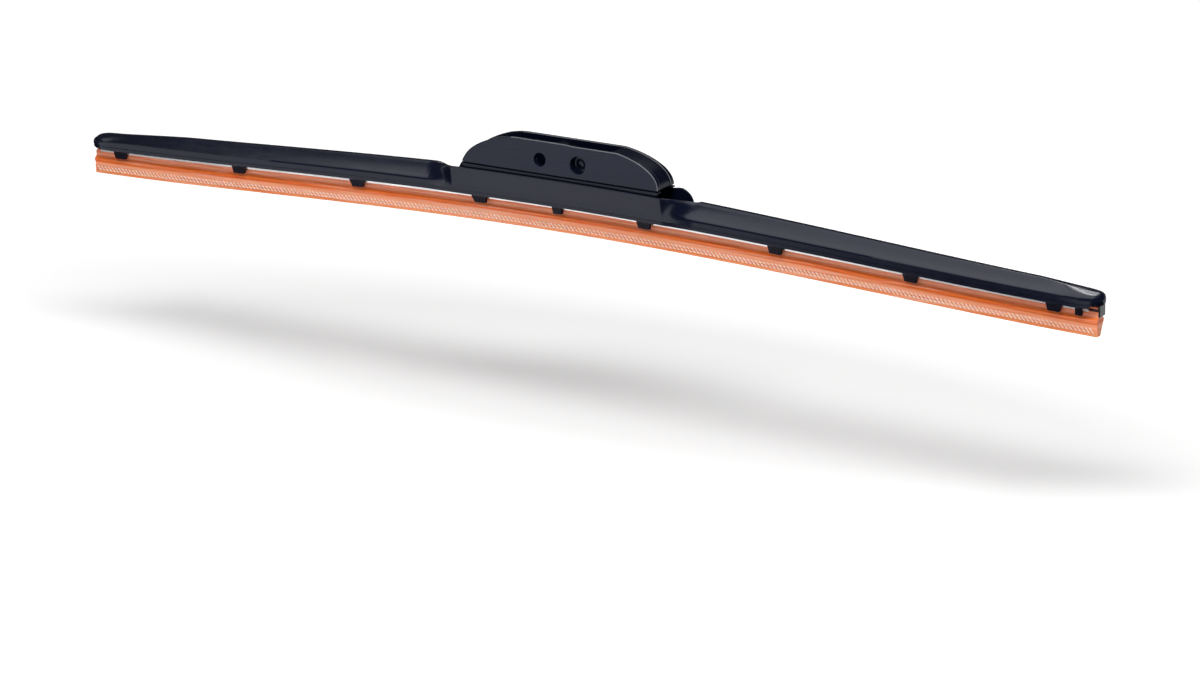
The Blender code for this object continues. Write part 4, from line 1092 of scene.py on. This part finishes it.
def make_camera():
    """The photograph's camera, placed so that the blade's middle falls on its pixel."""
    flat = math.cos(CAMERA_ELEVATION)
    back = Vector((math.sin(CAMERA_AZIMUTH) * flat, -math.cos(CAMERA_AZIMUTH) * flat,
                   math.sin(CAMERA_ELEVATION)))
    level = (-back).cross(Vector((0.0, 0.0, 1.0))).normalized()
    upright = level.cross(-back)
    right = math.cos(CAMERA_ROLL) * level + math.sin(CAMERA_ROLL) * upright
    up = -math.sin(CAMERA_ROLL) * level + math.cos(CAMERA_ROLL) * upright
    a = (ORIGIN_PIXEL[0] - PICTURE[0] / 2.0) / FOCAL_PIXELS * CAMERA_DISTANCE
    b = -(ORIGIN_PIXEL[1] - PICTURE[1] / 2.0) / FOCAL_PIXELS * CAMERA_DISTANCE
    centre = -(a * right + b * up - CAMERA_DISTANCE * back)
    data = bpy.data.cameras.new("camera")
    data.sensor_width = SENSOR
    data.lens = SENSOR * FOCAL_PIXELS / PICTURE[0]
    data.clip_start, data.clip_end = 0.05, 60.0
    camera = bpy.data.objects.new("camera", data)
    turn = Matrix((right, up, back)).transposed().to_4x4()
    turn.translation = place(*centre)
    camera.matrix_world = turn
    bpy.context.scene.collection.objects.link(camera)
    bpy.context.scene.camera = camera


def make_floor():
    """Pale paper that glows to white for the camera; a painted shadow lowers the glow where the shadow falls.
    """
    bm = bmesh.new()
    bmesh.ops.create_grid(bm, x_segments=4, y_segments=4, size=FLOOR_HALF)
    floor = new_object("floor", bm)
    floor.location.z = -FLOOR_DEPTH
    made = Nodes("floor_paper")
    fibre = made.noise(300.0, 3.0, 0.5)
    tree = made.tree
    tree.nodes.remove(made.shader)
    diffuse = made.add("ShaderNodeBsdfDiffuse", {"Roughness": 0.0})
    tree.links.new(made.blend(fibre, (0.88, 0.88, 0.88), (0.90, 0.90, 0.90)), diffuse.inputs["Color"])
    ray = made.add("ShaderNodeLightPath").outputs
    seen = made.math("MAXIMUM", made.math("MAXIMUM", ray["Is Camera Ray"], ray["Is Glossy Ray"]),
                     ray["Is Transmission Ray"])
    spread = made.add("ShaderNodeMapping", {"Vector": made.coordinates,
                                            "Location": (0.0, -FLOOR_PAINTED_SHADOW_PLACE, 0.0),
                                            "Scale": (FLOOR_PAINTED_SHADOW_SQUEEZE, 1.0, 1.0)}).outputs["Vector"]
    away = made.add("ShaderNodeVectorMath", {0: spread}, operation="LENGTH").outputs["Value"]
    # Lower glow near the shadow's line: a painted shadow.
    bright = made.fit(away, FLOOR_PAINTED_SHADOW_REACH, FLOOR_WHITE_REACH, FLOOR_GLOW, FLOOR_FAR_GLOW)
    distant = made.math("MULTIPLY", ray["Is Camera Ray"],
                        made.fit(away, *FLOOR_DISTANCES, 0.0, FLOOR_DISTANT_GLOW))
    level = made.math("ADD", made.math("MULTIPLY", seen, bright), distant)
    glow = made.add("ShaderNodeEmission", {"Color": (1.0, 1.0, 1.0, 1.0), "Strength": level})
    both = made.add("ShaderNodeAddShader", {0: diffuse.outputs[0], 1: glow.outputs[0]})
    tree.links.new(both.outputs[0], tree.nodes["Material Output"].inputs["Surface"])
    floor.data.materials.append(made.material)


def make_world():
    """Dim room over a bright ground, for light and reflections; the camera sees it white."""
    world = bpy.data.worlds.new("studio")
    bpy.context.scene.world = world
    world.use_nodes = True
    tree = world.node_tree
    sky = tree.nodes["Background"]
    coordinates = tree.nodes.new("ShaderNodeTexCoord")
    parts = tree.nodes.new("ShaderNodeSeparateXYZ")
    ramp = tree.nodes.new("ShaderNodeValToRGB")
    tree.links.new(coordinates.outputs["Generated"], parts.inputs[0])
    tree.links.new(parts.outputs["Z"], ramp.inputs["Fac"])
    fill_ramp(ramp, [(position, (value, value, value)) for position, value in ROOM])
    ray = tree.nodes.new("ShaderNodeLightPath")
    level = tree.nodes.new("ShaderNodeMath")
    level.operation = "MAXIMUM"
    tree.links.new(ramp.outputs["Color"], level.inputs[0])
    tree.links.new(ray.outputs["Is Camera Ray"], level.inputs[1])
    sky.inputs["Color"].default_value = (1.0, 1.0, 1.0, 1.0)
    tree.links.new(level.outputs["Value"], sky.inputs["Strength"])


def add_flag(name, low, high):
    """Black card just over the floor, beside the picture, that only reflections show."""
    bm = bmesh.new()
    turn = Matrix.Rotation(CAMERA_AZIMUTH, 3, "Z")
    corners = ((low[0], low[1]), (high[0], low[1]), (high[0], high[1]), (low[0], high[1]))
    bm.faces.new([bm.verts.new(turn @ Vector((x, y, FLAG_GAP - FLOOR_DEPTH))) for x, y in corners])
    flag = new_object(name, bm)
    card = Nodes("black_card", Base_Color=(0.004, 0.004, 0.005, 1.0), Roughness=0.9)
    flag.data.materials.append(card.material)
    flag.visible_camera = flag.visible_diffuse = flag.visible_shadow = False


def add_lamp(name, position, target, size, power, use, spread=180.0):
    """Area lamp that lights, is seen in gloss, or both."""
    data = bpy.data.lights.new(name, "AREA")
    data.shape = "RECTANGLE" if len(size) == 2 else "DISK"
    data.size = size[0]
    if len(size) == 2:
        data.size_y = size[1]
    data.energy = power
    data.normalize = True
    data.spread = math.radians(spread)
    lamp = bpy.data.objects.new(name, data)
    lamp.location = position
    lamp.rotation_mode = "QUATERNION"
    lamp.rotation_quaternion = (Vector(target) - Vector(position)).to_track_quat("-Z", "Y")
    lamp.visible_glossy = use != "light"
    lamp.visible_diffuse = use != "gloss"
    lamp.visible_camera = False
    bpy.context.scene.collection.objects.link(lamp)


def make_studio():
    make_camera()
    make_floor()
    make_world()
    add_flag("flag_right", (-0.08, -5.0), (5.0, -0.05))
    add_flag("flag_left", (-5.0, -0.005), (-0.17, 3.0))
    for lamp in LAMPS:
        add_lamp(*lamp)
    bpy.context.scene.view_settings.view_transform = "Standard"


make_studio()
make_cover()
make_element()
make_knurl()
make_clips()
make_adapter()
make_lock_cap()
make_end_cap()
for node, material, edge in (
        ("rail_leading", RAIL_STEEL, 0.1), ("rail_trailing", RAIL_STEEL, 0.1),
        ("pivot_pin", RAIL_STEEL, 0.15), ("saddle_bracket", BRACKET_STEEL, 0.12),
        ("rivet_left", BRACKET_STEEL, 0.0), ("rivet_right", BRACKET_STEEL, 0.0)):
    dress_node(node, material, edge)
